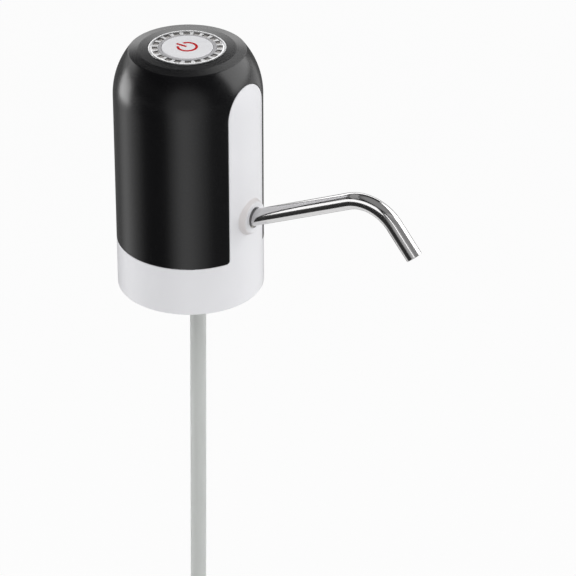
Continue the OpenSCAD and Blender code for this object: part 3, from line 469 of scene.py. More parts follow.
def boss(spout, wall_radius, rim, back):
    """Rings from the block's edge on the panel to the upright boss's foot, up its side, over its face, down the
    tube's slanted hole and back to the block inside. On the panel the distance from the wall's front line is
    sqrt(R^2 - x^2) - R. The hole meets the face in an ellipse of half height hole/cos(rise), and at a height v
    above the tube's line the face lies (face + v sin(rise))/cos(rise) along that line. Also gives each ring's
    share of the painted shade on the boss's side, a greyer colour that stands in for the shade that side lies in."""
    ahead, up = spout_axes(spout)
    start = np.array([0, -wall_radius, spout.outlet/MM])
    radius, face, hole = spout.boss/MM, spout.boss_face/MM, spout.boss_hole/MM
    sine, cosine = math.sin(spout.rise), math.cos(spout.rise)
    middle = start + [0, 0, face*sine/cosine]
    ray = np.arctan2(rim[:, 2] - middle[2], rim[:, 0])
    block = np.hypot(rim[:, 0], rim[:, 2] - middle[2])
    oval = hole/np.hypot(np.cos(ray), np.sin(ray)*cosine)
    spin = np.arctan2(np.sin(ray)*cosine, np.cos(ray))

    def panel(distance):
        return np.sqrt(wall_radius**2 - (distance*np.cos(ray))**2) - wall_radius

    def place(distance, out, drop=0):
        distance = distance + 0*ray
        return middle + np.stack([distance*np.cos(ray), -out - 0*ray, distance*np.sin(ray) - drop], axis=-1)

    def bore(distance, along):
        return (start + np.outer(distance*np.cos(spin), [1, 0, 0]) + np.outer(distance*np.sin(spin), up)
                + np.outer(along + 0*ray, ahead))

    def side(out):
        return radius - spout.boss_bevel/MM*np.clip(out/face, 0, 1)

    # Radii of the fillet at the foot, of the face's edge and of the hole's edge
    root, edge, lip = 0.45, 0.5, 0.3
    # Recess behind the hole for the socket: radius and start along the tube's line of its nose and of its body
    nose, nose_at, body, body_at = 5.65, -1.75, 7.75, -4.8
    foot, apron = panel(radius), 0.8
    turns = np.radians(np.linspace(0, 90, 6))
    rows = [rim]
    for share in (0.3, 0.6, 0.85):
        distance = block*(1 - share) + (radius + apron)*share
        rows.append(place(distance, panel(distance)))
    side_row = len(rows)
    for a in turns:
        out = panel(radius + root*(1 - math.sin(a))) + root*(1 - math.cos(a))
        rows.append(place(side(out) + root*(1 - math.sin(a)), out))
    for share in (0.1, 0.5, 0.9):
        out = (foot + root)*(1 - share) + (face - edge)*share
        rows.append(place(side(out), out))
    for a in turns:
        out = face - edge*(1 - math.sin(a))
        rows.append(place(side(out) - edge*(1 - math.cos(a)), out))
    rows += [place((side(face) - edge)*(1 - share) + (oval + lip)*share, face)
             for share in (0.06, 0.35, 0.65, 0.94)]
    sunk = [lip*(1 - math.cos(a)) for a in turns]
    rows += [place(oval + lip*(1 - math.sin(a)), face - d, d*sine/cosine) for a, d in zip(turns, sunk)]
    mouth = (face + hole*np.sin(spin)*sine)/cosine
    rows += [bore(hole, mouth - 0.5), bore(hole, nose_at + 0.15), bore(hole, nose_at), bore(nose, nose_at),
             bore(nose, body_at), bore(body, body_at), back]
    # Share of painted shade on each ring: rising over the foot's fillet, full up the side and falling over the face's
    # rounded edge
    tint = np.concatenate([np.linspace(0, 1, 6), np.ones(3), np.linspace(1, 0, 6)])
    share = np.zeros(len(rows))
    share[side_row:side_row + len(tint)] = tint
    return np.stack(rows), share


class JUGPUMP_OT_casing(bpy.types.Operator):
    """Build the black shell and the white body, which meet along the panel's arch and the skirt's top."""
    bl_idname = "jugpump.casing"
    bl_label = "Casing"

    def execute(self, context):
        scene = context.scene
        casing = Casing(scene.jugpump_casing)
        made = piece("shell_moulding", casing.shell())
        dress(made, FINISH["satin_black_abs"], "housing", "black_shell", "outer_shell")
        bpy.data.collections["shell_light"].objects.link(made)
        # The body carries each point's share of painted shade on the boss's side as an attribute
        patches, painted_collar_shade = casing.body(scene.jugpump_spout)
        made = piece("body_moulding", patches, painted_collar_shade, "painted_collar_shade")
        dress(made, FINISH["gloss_white_abs"], "housing", "white_plastic", "white_body")
        return {"FINISHED"}


# Button

def bezel_rings(button):
    """Bezel as rings of heights over the radius. A pocket's floor lies between smooth steps at its ends and at
    its two parallel sides, which the columns follow: a column at a distance d from a pocket's middle line
    stands at asin(d/r) from it."""
    outside, inside, top = button.bezel_radius/MM, button.bezel_hole/MM, button.bezel_top/MM
    land, floor, seat = top - 0.2, top - 0.5, top - 1.5
    wall, soft = button.flute_width/MM/2, 0.12
    pitch = TAU/button.flutes
    # Radii of the rings, close together where the height turns
    radius = np.array([inside, inside, inside + 0.03, inside + 0.08, inside + 0.13, inside + 0.18, inside + 0.22,
                       inside + 0.3, inside + 0.38, inside + 0.48, 15.0, 15.6, 16.2, 16.7, 16.84, 16.92, 17.0, 17.08,
                       17.18, 17.4, 17.8, outside - 0.4, outside - 0.3, outside - 0.17, outside - 0.06, outside,
                       outside, outside])
    rim_low, rim_high = 17.0, 17.3
    pocket_start, pocket_end = (inside + 0.2, inside + 0.42), (16.75, 16.95)
    height = land + (top - land)*ease(radius, rim_low, rim_high)
    height[:6] = [seat, land - 0.25, land - 0.12, land - 0.03, land, land]
    height[22:] = [top - 0.01, top - 0.04, top - 0.1, top - 0.2, top - 0.3, seat]
    side = np.array([0, 0.35, 0.7, 1.0, wall - 0.25, wall - 0.15, wall - 0.08, wall, wall + 0.08, wall + 0.15])
    land_share = np.array([0.15, 0.4, 0.7])
    r = radius[:, None]
    half = np.hstack([np.arcsin(side/r), np.arcsin(side[-1]/r)
                      + land_share*(pitch/2 - np.arcsin(side[-1]/r))])
    across = np.concatenate([side, np.full(len(land_share), side[-1])])
    one = np.hstack([-half[:, :0:-1], half, np.full_like(r, pitch/2)])
    across = np.concatenate([across[:0:-1], across, [side[-1]]])
    turn = (one[:, None, :] + (pitch*np.arange(button.flutes))[None, :, None]).reshape(len(radius), -1)
    across = np.tile(across, button.flutes)
    sunk = (1 - ease(across, wall - soft, wall + soft))[None, :]
    sunk = sunk*ease(r, *pocket_start)*(1 - ease(r, *pocket_end))
    level = height[:, None] - (land - floor)*sunk
    points = np.stack([r*np.sin(turn), -r*np.cos(turn), level], axis=-1)
    # Share of painted shade in the pockets: how far each point is sunk into a pocket
    painted_shade_mask = np.stack([sunk, 0*sunk, 0*sunk], axis=-1)
    return points, painted_shade_mask


def sign_strokes(button):
    """Power sign: a flat stroke carried along a ring that is open at the back, and along a bar through the gap.
    The stroke's section is a low box with rounded upper edges."""
    width, low, top, edge = button.sign_width/MM, 126.2, 126.65, 0.12
    section = rounded([(-width/2, low), (-width/2, top), (width/2, top), (width/2, low)], (edge, edge), 3)
    middle = button.sign_radius/MM - width/2
    gap = math.radians(60)/2
    turn = np.linspace(gap, TAU - gap, 97)
    away, up = section[:, 0], section[:, 1]
    ring = np.stack([np.outer(np.sin(turn), middle + away), np.outer(np.cos(turn), middle + away),
                     np.outer(np.ones(len(turn)), up)], axis=-1)
    bar_start = 0.6
    reach = np.linspace(bar_start, button.sign_bar/MM, 9)
    one = np.ones(len(reach))
    bar = np.stack([np.outer(one, away), np.outer(reach, np.ones(len(away))), np.outer(one, up)], axis=-1)
    patches = []
    for stroke in (ring, bar):
        centre = stroke.mean(axis=1, keepdims=True)
        closed = np.concatenate([centre[:1] + 0*stroke[:1], stroke, centre[-1:] + 0*stroke[-1:]])
        patches.append(grid(closed, wrap_columns=True))
    return patches


class JUGPUMP_OT_button(bpy.types.Operator):
    """Build the fluted bezel, the light ring, the button and its power sign on top of the shell."""
    bl_idname = "jugpump.button"
    bl_label = "Button"

    def execute(self, context):
        button = context.scene.jugpump_button
        turn = np.linspace(0, TAU, 144, endpoint=False)
        # The bezel carries its pockets' share of painted shade as an attribute
        points, painted_shade_mask = bezel_rings(button)
        made = piece("bezel_trim", [grid(points, wrap_rows=True, wrap_columns=True)], painted_shade_mask.reshape(-1, 3),
                     "painted_pocket_shade")
        dress(made, FINISH["plated_abs"], "housing", "bright_trim", "bezel_ring")
        bpy.data.collections["trim_light"].objects.link(made)

        bezel_gap, cap_gap = 0.03, 0.12
        outside, inside = button.ring_radius/MM - bezel_gap, button.cap_radius/MM + cap_gap
        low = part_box("light_ring")[0][2]/MM
        face, ledge, brim = 126.3, 124.75, 14.9
        start = (inside, 122)
        ring = rounded([start, (inside, face), (outside, face), (outside, ledge), (brim, ledge), (brim, low),
                        (inside, low), start], (0.25, 0.25, 0.1, 0.1, 0.2, 0.2))
        made = piece("light_diffuser_ring", [grid(revolve(ring[:-1], turn), wrap_rows=True, wrap_columns=True)])
        dress(made, FINISH["frosted_polycarbonate"], "housing", "light_diffuser", "light_ring")

        outside, face = button.cap_radius/MM, button.cap_top/MM
        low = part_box("button_cap")[0][2]/MM
        dish, depth = 10.4, 0.12
        flat = np.array([0, 2, 4, 6, 8, 9.6])
        dished = np.stack([flat, face - depth*(1 - (flat/dish)**2)], axis=-1)
        rim = rounded([(dish, face), (outside, face), (outside, low), (0, low)], (0.5, 0.3), 6)
        made = piece("button_moulding", [grid(revolve(np.vstack([dished, rim]), turn), wrap_columns=True)])
        dress(made, FINISH["gloss_white_abs"], "button", "white_plastic", "button_cap")

        made = piece("power_sign", sign_strokes(button))
        dress(made, FINISH["printed_red_ink"], "button", "red_ink", "power_mark")
        return {"FINISHED"}


# Spout and hose

def spout_line(spout, wall_radius):
    """Middle line of the spout: straight, a bend of constant radius towards the floor, and a straight tip."""
    ahead, up = spout_axes(spout)
    start = np.array([0, -wall_radius, spout.outlet/MM])
    bend, straight = spout.bend/MM, spout.straight/MM
    run = np.linspace(-spout.inside/MM, straight, 38)[:-1]
    first = start + np.outer(run, ahead)
    turn = np.linspace(0, spout.turn, 46)
    centre = start + straight*ahead - bend*up
    second = centre + bend*(np.outer(np.cos(turn), up) + np.outer(np.sin(turn), ahead))
    out = math.cos(spout.turn)*ahead - math.sin(spout.turn)*up
    third = second[-1] + np.outer(np.linspace(0, spout.tip/MM, 10)[1:], out)
    return np.vstack([first, second, third])


class JUGPUMP_OT_spout(bpy.types.Operator):
    """Build the bent steel spout as a thin-walled tube with broken edges."""
    bl_idname = "jugpump.spout"
    bl_label = "Spout"

    def execute(self, context):
        scene = context.scene
        spout = scene.jugpump_spout
        path = spout_line(spout, scene.jugpump_casing.diameter/2/MM)
        outer, wall = spout.radius/MM, spout.wall/MM
        guard, edge, soft = 0.3, 0.2, 0.06
        lip_shift = np.array([-guard, -edge, -soft, 0, 0, -soft, -edge, -guard])
        lip_radius = outer - np.array([0, 0, soft, edge, wall - edge, wall - soft, wall, wall])
        points, straight = tube(path, outer, outer - wall, lip_shift, lip_radius, 64)
        made = piece("spout_tube", [grid(points, wrap_rows=True, wrap_columns=True)], straight.reshape(-1, 3),
                     "drawn", 50)
        dress(made, FINISH["polished_stainless_tube"], "spout", "steel_tube", "spout")
        bpy.data.collections["spout_light"].objects.link(made)
        return {"FINISHED"}


# Middle line of the hose in millimetres, from round the inlet's nipple down to its cut end: the inlet's place, and
# points as two level distances from it and a height
HOSE_INLET = (8.485, 1.893)
HOSE_ROUTE = (
    (0, 0, 17.6), (0, 0, 6), (-0.1, 0, -20), (-0.5, 0, -40), (-0.9, 0, -60), (-1.3, 0, -80), (-1.7, 0, -100),
    (-2.1, 0, -120), (-2.6, 0, -140), (-3.1, -0.1, -160), (-3.6, -0.1, -180), (-4.1, -0.2, -200), (-4.6, -0.3, -220),
    (-5.1, -0.4, -240), (-5.6, -0.5, -260), (-6.0, -0.6, -280), (-6.4, -0.7, -300), (-6.8, -0.8, -320),
    (-7.1, -0.9, -340), (-7.2, -1, -350),
)


def through(points, pieces):
    """Smooth line through points: between two of them a cubic whose slope at each is half the step between its
    neighbours."""
    points = np.asarray(points, float)
    slope = np.gradient(points, axis=0)
    share = np.linspace(0, 1, pieces, endpoint=False)[None, :, None]
    a, b, sa, sb = points[:-1, None], points[1:, None], slope[:-1, None], slope[1:, None]
    cubic = ((2*share**3 - 3*share**2 + 1)*a + (share**3 - 2*share**2 + share)*sa
             + (3*share**2 - 2*share**3)*b + (share**3 - share**2)*sb)
    return np.vstack([cubic.reshape(-1, 3), points[-1:]])


class JUGPUMP_OT_hose(bpy.types.Operator):
    """Build the suction hose, which hangs from the inlet's nipple, with its bore and cut end."""
    bl_idname = "jugpump.hose"
    bl_label = "Suction hose"

    def execute(self, context):
        hose = context.scene.jugpump_hose
        path = through(np.array(HOSE_ROUTE) + [*HOSE_INLET, 0], 5)
        outer, inner = hose.diameter/2/MM, hose.bore/2/MM
        guard, edge, soft = 0.3, 0.15, 0.03
        lip_shift = np.array([-guard, -edge, 0, 0, -edge, -guard])
        lip_radius = np.array([outer, outer - soft, outer - edge, inner + edge, inner + soft, inner])
        points, straight = tube(path, outer, inner, lip_shift, lip_radius, 40)
        made = piece("hose_tube", [grid(points, wrap_rows=True, wrap_columns=True)], straight.reshape(-1, 3),
                     "laid", 50)
        dress(made, FINISH["milky_silicone"], "housing", "clear_silicone", "suction_hose")
        return {"FINISHED"}


# Finishes

FINISH = {}


def add(tree, kind, inputs=None, **settings):
    """Adds a node with its settings, its values and its links; an input that is a socket is linked."""
    node = tree.nodes.new(kind)
    for key, value in settings.items():
        setattr(node, key, value)
    for key, value in (inputs or {}).items():
        if isinstance(value, bpy.types.NodeSocket):
            tree.links.new(value, node.inputs[key])
        else:
            node.inputs[key].default_value = value
    return node


def blank(name):
    """A new material with its nodes and its plain shader."""
    material = bpy.data.materials.new(name)
    material.use_nodes = True
    return material, material.node_tree, material.node_tree.nodes["Principled BSDF"]


def surface(name, base, dark, rough, grain_mm, lift_mm, spread, drawn=None, painted_shade_mask=None, **sockets):
    """Surface of one material: the colour drifts a little towards dark over a few centimetres, and a fine grain
    of the given size moves the gloss by spread and lifts the surface. drawn names an attribute with the place on
    a tube laid out straight, in millimetres, along which the grain is drawn out. The mask names an attribute that
    brings in a second colour, which is painted shade, and a second roughness."""
    drift_mm, drawn_out = 30, 60
    material, tree, shader = blank(name)
    place = fine = add(tree, "ShaderNodeTexCoord").outputs["Object"]
    if drawn:
        laid = add(tree, "ShaderNodeAttribute", attribute_name=drawn).outputs["Vector"]
        fine = add(tree, "ShaderNodeVectorMath", {0: laid, 1: (MM, MM, MM/drawn_out)},
                   operation="MULTIPLY").outputs[0]
    drift = add(tree, "ShaderNodeTexNoise", {"Vector": place, "Scale": 1/(drift_mm*MM), "Detail": 2.0,
                                             "Roughness": 0.5})
    grain = add(tree, "ShaderNodeTexNoise", {"Vector": fine, "Scale": 1/(grain_mm*MM), "Detail": 3.0,
                                             "Roughness": 0.6})
    tint = add(tree, "ShaderNodeMix", {"Factor": drift.outputs["Fac"], "A": (*base, 1), "B": (*dark, 1)},
               data_type="RGBA").outputs[2]
    gloss = add(tree, "ShaderNodeMapRange", {"Value": grain.outputs["Fac"], "From Min": 0.3, "From Max": 0.7,
                                             "To Min": rough - spread, "To Max": rough + spread}).outputs["Result"]
    # The mask's second colour is painted shade; its second roughness is the surface's own
    if painted_shade_mask:
        label, second, second_rough = painted_shade_mask
        share = add(tree, "ShaderNodeSeparateXYZ",
                    {0: add(tree, "ShaderNodeAttribute", attribute_name=label).outputs["Vector"]}).outputs["X"]
        tint = add(tree, "ShaderNodeMix", {"Factor": share, "A": tint, "B": (*second, 1)},
                   data_type="RGBA").outputs[2]
        gloss = add(tree, "ShaderNodeMix", {"Factor": share, "A": gloss, "B": second_rough}).outputs[0]
    tree.links.new(tint, shader.inputs["Base Color"])
    tree.links.new(gloss, shader.inputs["Roughness"])
    bump = add(tree, "ShaderNodeBump", {"Height": grain.outputs["Fac"], "Strength": 0.6, "Distance": lift_mm*MM})
    tree.links.new(bump.outputs["Normal"], shader.inputs["Normal"])
    for key, value in sockets.items():
        shader.inputs[key.replace("_", " ").title().replace("Ior", "IOR")].default_value = value
    FINISH[name] = material


def tone(rgb, share):
    """A colour made darker by a share."""
    return tuple(v*share for v in rgb)


def make_finishes(finish):
    """All materials, from what each surface really is, except the painted shade on the boss's side and in the bezel's
    pockets. The real grains are too fine to show in a render, so they are drawn some tenths of a millimetre wide."""
    shell, body = tuple(finish.shell), tuple(finish.body)
    # Black ABS from a fine spark-eroded mould: deep black with a soft, broad sheen
    surface("satin_black_abs", shell, tone(shell, 0.8), 0.25, 0.35, 0.004, 0.03, ior=1.56)
    # White ABS from a polished mould: clean, faintly cool white with a soft gloss, matt on the boss's side, where a
    # greyer colour is painted shade
    surface("gloss_white_abs", body, tone(body, 0.95), 0.32, 0.6, 0.002, 0.03,
            painted_shade_mask=("painted_collar_shade", tuple(finish.painted_collar_shade), 0.5), ior=1.5)
    # Frosted polycarbonate over the lamps: pale grey, even and dull
    diffuser = tuple(finish.diffuser)
    surface("frosted_polycarbonate", diffuser, tone(diffuser, 0.93), 0.5, 0.25, 0.004, 0.05, ior=1.58)
    # Pad-printed ink: flat strong red with a slight orange-peel skin
    sign = tuple(finish.sign)
    surface("printed_red_ink", sign, tone(sign, 0.9), 0.65, 0.5, 0.003, 0.05, ior=1.3)
    # Drawn, polished stainless tube: mirror-like, with faint lines along its length
    steel = tuple(finish.steel)
    surface("polished_stainless_tube", steel, tone(steel, 0.92), 0.13, 0.3, 0.0006, 0.04, drawn="drawn",
            metallic=1.0)
    # Milky silicone tubing: see-through with a soft white haze, a dull surface and faint extrusion lines
    hose = tuple(finish.hose)
    surface("milky_silicone", hose, tone(hose, 0.95), 0.4, 0.5, 0.004, 0.05, drawn="laid", ior=1.41,
            transmission_weight=0.55)
    # Bright-plated ABS: satin metal ribs between duller pockets, whose darker colour is painted shade
    trim = tuple(finish.trim)
    surface("plated_abs", trim, tone(trim, 0.93), 0.26, 0.3, 0.001, 0.04,
            painted_shade_mask=("painted_pocket_shade", tuple(finish.painted_pocket_shade), 0.42), metallic=1.0)
    # Clear silicone sheet of the seat gasket and the inner tube: hazy and dull
    surface("hazy_silicone", linear("#DCE1E2"), linear("#CDD3D4"), 0.5, 0.4, 0.005, 0.06, ior=1.41,
            transmission_weight=0.3)
    # Black nitrile rubber: dull, slightly dusty
    surface("nitrile_rubber", linear("#232325"), linear("#19191B"), 0.6, 0.3, 0.006, 0.06, ior=1.52)
    # Natural nylon: off-white, waxy
    surface("natural_nylon", linear("#E6E4DE"), linear("#DAD8D1"), 0.45, 0.4, 0.004, 0.05, ior=1.53)
    # Black nylon: dull dark grey-black
    surface("black_nylon", linear("#1C1C1E"), linear("#141416"), 0.5, 0.4, 0.006, 0.06, ior=1.53)
    # Epoxy laminate under green solder mask: dark green, smooth and half glossy
    surface("green_laminate", linear("#1E5B38"), linear("#17482C"), 0.4, 0.5, 0.006, 0.06, ior=1.55)
    # Zinc-plated steel: pale, cool and finely scratched
    surface("zinc_plated_steel", linear("#B9BCC0"), linear("#A7AAAE"), 0.3, 0.3, 0.003, 0.06, metallic=1.0)
    # Sintered bronze: warm brown metal
    surface("sintered_bronze", linear("#A9814F"), linear("#8F6B3F"), 0.42, 0.25, 0.006, 0.06, metallic=1.0)
    # Ferrite: dark grey ceramic
    surface("ferrite_ceramic", linear("#3B3C40"), linear("#303135"), 0.55, 0.4, 0.006, 0.06, ior=1.6)
    # Shrink sleeve on the cell: blue film, tight and glossy
    surface("blue_shrink_film", linear("#2F6DB0"), linear("#2860A0"), 0.28, 0.8, 0.003, 0.04, ior=1.5)
    # PVC lead insulation: plain red, slightly waxy
    surface("red_lead_insulation", linear("#B02A2A"), linear("#972222"), 0.42, 0.5, 0.004, 0.05, ior=1.53)


# Finish of the CAD nodes in each material slot
SLOT_FINISH = {
    "black_shell": "satin_black_abs", "white_plastic": "gloss_white_abs", "bright_trim": "plated_abs",
    "light_diffuser": "frosted_polycarbonate", "red_ink": "printed_red_ink", "steel_tube": "polished_stainless_tube",
    "clear_silicone": "hazy_silicone", "seal_rubber": "nitrile_rubber", "natural_nylon": "natural_nylon",
    "black_nylon": "black_nylon", "board_laminate": "green_laminate", "plain_steel": "zinc_plated_steel",
    "bronze": "sintered_bronze", "ferrite": "ferrite_ceramic", "cell_wrap": "blue_shrink_film",
    "lead_insulation": "red_lead_insulation",
}


class JUGPUMP_OT_finishes(bpy.types.Operator):
    """Make the materials and put them on the CAD pieces that stay."""
    bl_idname = "jugpump.finishes"
    bl_label = "Finishes"

    def execute(self, context):
        make_finishes(context.scene.jugpump_finish)
        for row in frame["record"]["subparts"]:
            made = frame["nodes"][row["node"]]
            made.data.materials.clear()
            made.data.materials.append(FINISH[SLOT_FINISH[row["material_slot"]]])
        return {"FINISHED"}


# Stage

class JUGPUMP_OT_stage(bpy.types.Operator):
    """Set up the floor, the studio light and the camera."""
    bl_idname = "jugpump.stage"
    bl_label = "Stage"

    def execute(self, context):
        scene = context.scene
        scene.view_settings.view_transform = "Standard"
        world = bpy.data.worlds.new("studio")
        world.use_nodes = True
        scene.world = world
        room_light(world.node_tree)

        level = CAD_BOX[0][2] - FLOOR_DROP
        corners = FLOOR_REACH*np.array([(-1, -1, 0), (1, -1, 0), (1, 1, 0), (-1, 1, 0)]) + [0, 0, level]
        mesh = bpy.data.meshes.new("floor")
        mesh.from_pydata(corners, [], [(0, 1, 2, 3)])
        floor = bpy.data.objects.new("floor", mesh)
        scene.collection.objects.link(floor)
        mesh.materials.append(floor_paint())

        cloth = flag_cloth()
        for number, (first, dark, until, last, density) in enumerate(FLAGS):
            angles = np.linspace(first, last, 41)
            turn = np.radians(angles)
            ways = np.outer(np.cos(turn), TO_CAMERA) + np.outer(np.sin(turn), TO_RIGHT)
            points, quads = grid(np.stack([reach*ways for reach in FLAG_REACH]) + [0, 0, level + FLAG_RISE])
            mesh = bpy.data.meshes.new(f"flag_{number}")
            mesh.from_pydata(points, [], quads)
            shade = density*np.interp(angles, (first, dark, until, last), (0, 1, 1, 0))
            layer = mesh.attributes.new("shade", "FLOAT", "POINT")
            layer.data.foreach_set("value", np.tile(shade, 2).astype(np.float32))
            mesh.materials.append(cloth)
            flag = bpy.data.objects.new(f"flag_{number}", mesh)
            flag.visible_camera = flag.visible_diffuse = flag.visible_transmission = flag.visible_shadow = False
            scene.collection.objects.link(flag)

        own = {serves: bpy.data.collections.new(f"{serves}_light") for serves in ("spout", "trim", "shell")}
        for name, at, aim, width, tall, roll, watts, serves in STUDIO_LAMPS:
            lamp = bpy.data.lights.new(name, "AREA")
            lamp.shape = "RECTANGLE"
            lamp.size, lamp.size_y, lamp.energy = width, tall, watts
            made = bpy.data.objects.new(name, lamp)
            made.visible_camera = False
            made.visible_glossy = serves != "fill"
            made.visible_diffuse = serves in ("fill", "both")
            made.light_linking.receiver_collection = own.get(serves)
            away = (Vector(at) - Vector(aim)).normalized()
            made.matrix_world = (Matrix.Translation(at) @ away.to_track_quat("Z", "Y").to_matrix().to_4x4()
                                 @ Matrix.Rotation(math.radians(roll), 4, "Z"))
            scene.collection.objects.link(made)

        camera = bpy.data.cameras.new("camera")
        camera.lens, camera.sensor_width = LENS, SENSOR
        made = bpy.data.objects.new("camera", camera)
        azimuth, elevation = math.radians(AZIMUTH), math.radians(ELEVATION)
        back = Vector((math.sin(azimuth)*math.cos(elevation), -math.cos(azimuth)*math.cos(elevation),
                       math.sin(elevation)))
        made.matrix_world = (Matrix.Translation(Vector(CAMERA_AIM) + CAMERA_FAR*back)
                             @ back.to_track_quat("Z", "Y").to_matrix().to_4x4())
        scene.collection.objects.link(made)
        scene.camera = made
        return {"FINISHED"}


# Camera: lens and sensor in millimetres, direction from the object in degrees, aim and distance in metres
LENS, SENSOR = 213.0, 36.0
AZIMUTH, ELEVATION = -56.5, 29.88
CAMERA_AIM, CAMERA_FAR = (0.0245, -0.0411, -0.0042), 1.680

# Floor: distance below the object and half its width, in metres
FLOOR_DROP, FLOOR_REACH = 0.006, 14.0

# Level directions from the object towards the camera and to the picture's right
TO_CAMERA = np.array([-0.8339, -0.5519, 0])
TO_RIGHT = np.array([0.5519, -0.8339, 0])

# Softboxes: name, place, aim, width and height in metres, roll in degrees, power in watts, and what they serve:
# "fill" lights matt surfaces and is not mirrored, "both" does both, and the others are only mirrored, "spout" by the
# steel tube alone, "trim" by the bezel alone and "shell" by the black shell alone
STUDIO_LAMPS = (
    ("key_box", (-1.4, -0.4, 1.6), (0, -0.03, 0.05), 1.2, 1.2, 0, 14.4, "fill"),
    ("fill_box", (0.9, -1.6, 0.9), (0, -0.03, 0.05), 1.2, 1.0, 0, 15.9, "fill"),
    ("left_box", (-0.35, 1.46, -0.06), (0, 0, 0.05), 0.75, 0.6, 0, 5.2, "both"),
    ("spout_right_card", (1.171, -0.78, 0.704), (0, -0.09, 0.07), 1.6, 1.3, 0, 17, "spout"),
    ("spout_left_box", (-1.25, 0.571, 0.588), (0, -0.08, 0.075), 1.8, 0.72, 29, 6.1, "spout"),
    ("spout_back_card", (0.013, 1.311, 0.637), (0, -0.08, 0.075), 1.2, 0.48, 0, 1.1, "spout"),
    ("spout_front_card", (-0.279, -1.246, 1.079), (0, -0.09, 0.075), 1.6, 1.1, 0, 1.66, "spout"),
    ("spout_streak_card", (-1.147, -0.736, 0.802), (0, -0.1, 0.075), 0.72, 0.18, -51, 0.8, "spout"),
    ("spout_top_card", (-0.06, 0.905, 1.058), (0, -0.1, 0.085), 1.6, 0.44, 0, 0.77, "spout"),
    ("trim_back_card", (1.061, 0.702, 0.92), (0, 0, 0.126), 1.4, 0.5, 0, 0.6, "trim"),
    ("shell_slope_card", (1.126, 0.229, 1.09), (0, 0, 0.125), 0.53, 0.69, 0, 1.7, "shell"),
    ("shell_shoulder_card", (1.04, -0.89, 0.75), (0, -0.03, 0.09), 1.85, 1.25, 0, 16.4, "shell"),
)

# Black flags on the floor, seen in reflections only: the angles to the right of the camera, in degrees, at which each
# begins, is dark from, is dark until and ends, and how dark it is. The gap between the first two is the soft light on
# the shell's front. All of them lie between two distances and a little above the floor, in metres.
FLAGS = ((-111, -70, -34, -11, 1), (0, 36, 88, 88.5, 0.94), (145, 145.5, 228, 248.5, 0.85))
FLAG_REACH, FLAG_RISE = (0.3, 12), 0.002


def flag_cloth():
    """Black cloth that thins out to nothing where a flag's shade is 0."""
    material, tree, shader = blank("black_flag_cloth")
    shader.inputs["Base Color"].default_value = (0.03, 0.03, 0.03, 1)
    shader.inputs["Roughness"].default_value = 1.0
    shade = add(tree, "ShaderNodeAttribute", attribute_name="shade").outputs["Fac"]
    clear = add(tree, "ShaderNodeBsdfTransparent")
    mix = add(tree, "ShaderNodeMixShader", {0: shade, 1: clear.outputs[0], 2: shader.outputs[0]})
    tree.links.new(mix.outputs[0], tree.nodes["Material Output"].inputs["Surface"])
    return material


# Mirrored room, as ramps of a direction's share along an axis: the axis, the shares where the ramp starts and ends,
# and what it gives there. The wall stands behind the object, low and dim take it down near the floor and higher up,
# and front and above are faint glows at the camera and overhead.
ROOM_AXES = {"behind": 0.94*TO_CAMERA + 0.342*TO_RIGHT, "toward": TO_CAMERA, "height": np.array([0, 0, 1])}
ROOM_RAMPS = {
    "wall": ("behind", -0.95, -0.3, 2.4, 0.06),
    "low": ("height", 0.08, 0.28, 0.35, 1.0),
    "dim": ("height", 0.33, 0.42, 1.0, 0.03),
    "front": ("toward", 0.76, 0.97, 0.0, 0.5),
    "above": ("height", 0.72, 0.92, 0.0, 0.3),
}
# Even light of the room on matt surfaces
MATT_FILL = 0.5


def room_light(tree):
    """World: white to the camera and through the hose, an even fill for matt surfaces, and for reflections
    wall*low*dim + front + above of the room's ramps."""
    path = add(tree, "ShaderNodeLightPath")
    way = add(tree, "ShaderNodeTexCoord").outputs["Generated"]
    share = {axis: add(tree, "ShaderNodeVectorMath", {0: way, 1: tuple(along.tolist())},
                       operation="DOT_PRODUCT").outputs["Value"] for axis, along in ROOM_AXES.items()}
    ramp = {name: add(tree, "ShaderNodeMapRange", {"Value": share[axis], "From Min": first, "From Max": last,
                                                   "To Min": start, "To Max": end},
                      interpolation_type="SMOOTHSTEP").outputs["Result"]
            for name, (axis, first, last, start, end) in ROOM_RAMPS.items()}
    wall = add(tree, "ShaderNodeMath", {0: ramp["wall"], 1: ramp["low"]}, operation="MULTIPLY").outputs[0]
    glows = add(tree, "ShaderNodeMath", {0: ramp["front"], 1: ramp["above"]}, operation="ADD").outputs[0]
    mirrored = add(tree, "ShaderNodeMath", {0: wall, 1: ramp["dim"], 2: glows},
                   operation="MULTIPLY_ADD").outputs[0]
    clear = add(tree, "ShaderNodeMath", {0: path.outputs["Is Camera Ray"], 1: path.outputs["Is Transmission Ray"]},
                operation="MAXIMUM").outputs[0]
    plain = add(tree, "ShaderNodeMapRange", {"Value": clear, "To Min": MATT_FILL, "To Max": 1.0}).outputs["Result"]
    level = add(tree, "ShaderNodeMix", {"Factor": path.outputs["Is Glossy Ray"], "A": plain,
                                        "B": mirrored}).outputs[0]
    tree.nodes["Background"].inputs["Color"].default_value = (1, 1, 1, 1)
    tree.links.new(level, tree.nodes["Background"].inputs["Strength"])


def seen_rays(tree):
    """1 on camera, glossy and transmission rays, and 0 on the rest."""
    path = add(tree, "ShaderNodeLightPath")
    some = add(tree, "ShaderNodeMath", {0: path.outputs["Is Camera Ray"], 1: path.outputs["Is Glossy Ray"]},
               operation="MAXIMUM")
    return add(tree, "ShaderNodeMath", {0: some.outputs[0], 1: path.outputs["Is Transmission Ray"]},
               operation="MAXIMUM").outputs[0]


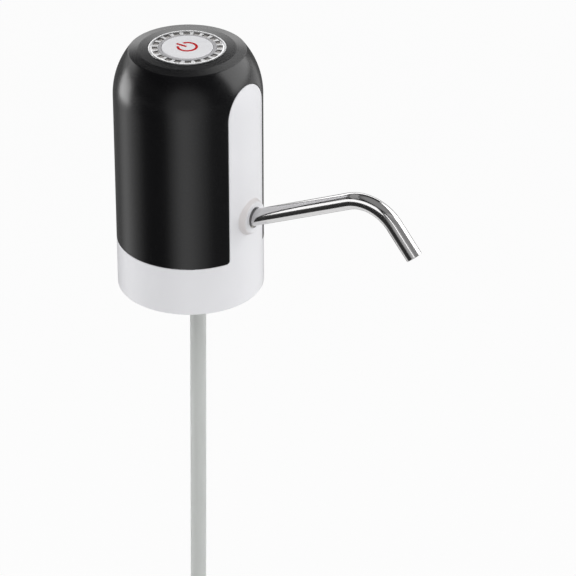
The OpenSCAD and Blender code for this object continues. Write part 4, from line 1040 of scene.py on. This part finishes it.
def floor_paint():
    """White painted floor. Seen directly or in a reflection it glows towards white, fully from its far distance
    out, and near the object it keeps a part of its lit surface and so the shadow."""
    near, far, near_share = 0.6, 2.5, 0.9
    material, tree, shader = blank("white_floor_paint")
    shader.inputs["Base Color"].default_value = (*linear("#F4F4F4"), 1)
    shader.inputs["Roughness"].default_value = 0.9
    shader.inputs["Specular IOR Level"].default_value = 0
    place = add(tree, "ShaderNodeTexCoord").outputs["Object"]
    flat = add(tree, "ShaderNodeVectorMath", {0: place, 1: (1, 1, 0)}, operation="MULTIPLY")
    away = add(tree, "ShaderNodeVectorMath", {0: flat.outputs[0]}, operation="LENGTH").outputs["Value"]
    share = add(tree, "ShaderNodeMapRange", {"Value": away, "From Min": near, "From Max": far, "To Min": near_share,
                                             "To Max": 1.0}, interpolation_type="SMOOTHSTEP")
    glow = add(tree, "ShaderNodeMath", {0: share.outputs["Result"], 1: seen_rays(tree)}, operation="MULTIPLY")
    light = add(tree, "ShaderNodeEmission", {"Color": (1, 1, 1, 1), "Strength": 1.0})
    mix = add(tree, "ShaderNodeMixShader", {0: glow.outputs[0], 1: shader.outputs[0], 2: light.outputs[0]})
    tree.links.new(mix.outputs[0], tree.nodes["Material Output"].inputs["Surface"])
    return material


# Add-on

class JUGPUMP_PT_panel(bpy.types.Panel):
    """Sizes, colours and build steps of the jug pump."""
    bl_idname = "JUGPUMP_PT_panel"
    bl_label = "Jug pump"
    bl_space_type = "VIEW_3D"
    bl_region_type = "UI"
    bl_category = "Jug pump"

    def draw(self, context):
        for key in SETTINGS:
            box = self.layout.box()
            group = getattr(context.scene, key)
            for name in group.__annotations__:
                box.prop(group, name)
        for step in STEPS:
            self.layout.operator(step.bl_idname)


SETTINGS = {"jugpump_casing": CasingSettings, "jugpump_spout": SpoutSettings, "jugpump_button": ButtonSettings,
            "jugpump_hose": HoseSettings, "jugpump_finish": FinishSettings}
STEPS = (JUGPUMP_OT_stage, JUGPUMP_OT_finishes, JUGPUMP_OT_hose, JUGPUMP_OT_casing, JUGPUMP_OT_button,
         JUGPUMP_OT_spout)
CLASSES = (*SETTINGS.values(), *STEPS, JUGPUMP_PT_panel)


def register():
    """Registers the classes and hangs the settings on the scene."""
    for kind in CLASSES:
        bpy.utils.register_class(kind)
    for key, kind in SETTINGS.items():
        setattr(bpy.types.Scene, key, PointerProperty(type=kind))


def unregister():
    """Takes the settings and the classes off again."""
    for key in SETTINGS:
        delattr(bpy.types.Scene, key)
    for kind in reversed(CLASSES):
        bpy.utils.unregister_class(kind)


def main():
    """Builds everything in order."""
    register()
    bpy.ops.jugpump.stage()
    bpy.ops.jugpump.finishes()
    bpy.ops.jugpump.hose()
    bpy.ops.jugpump.casing()
    bpy.ops.jugpump.button()
    bpy.ops.jugpump.spout()


if __name__ == "__main__":
    main()
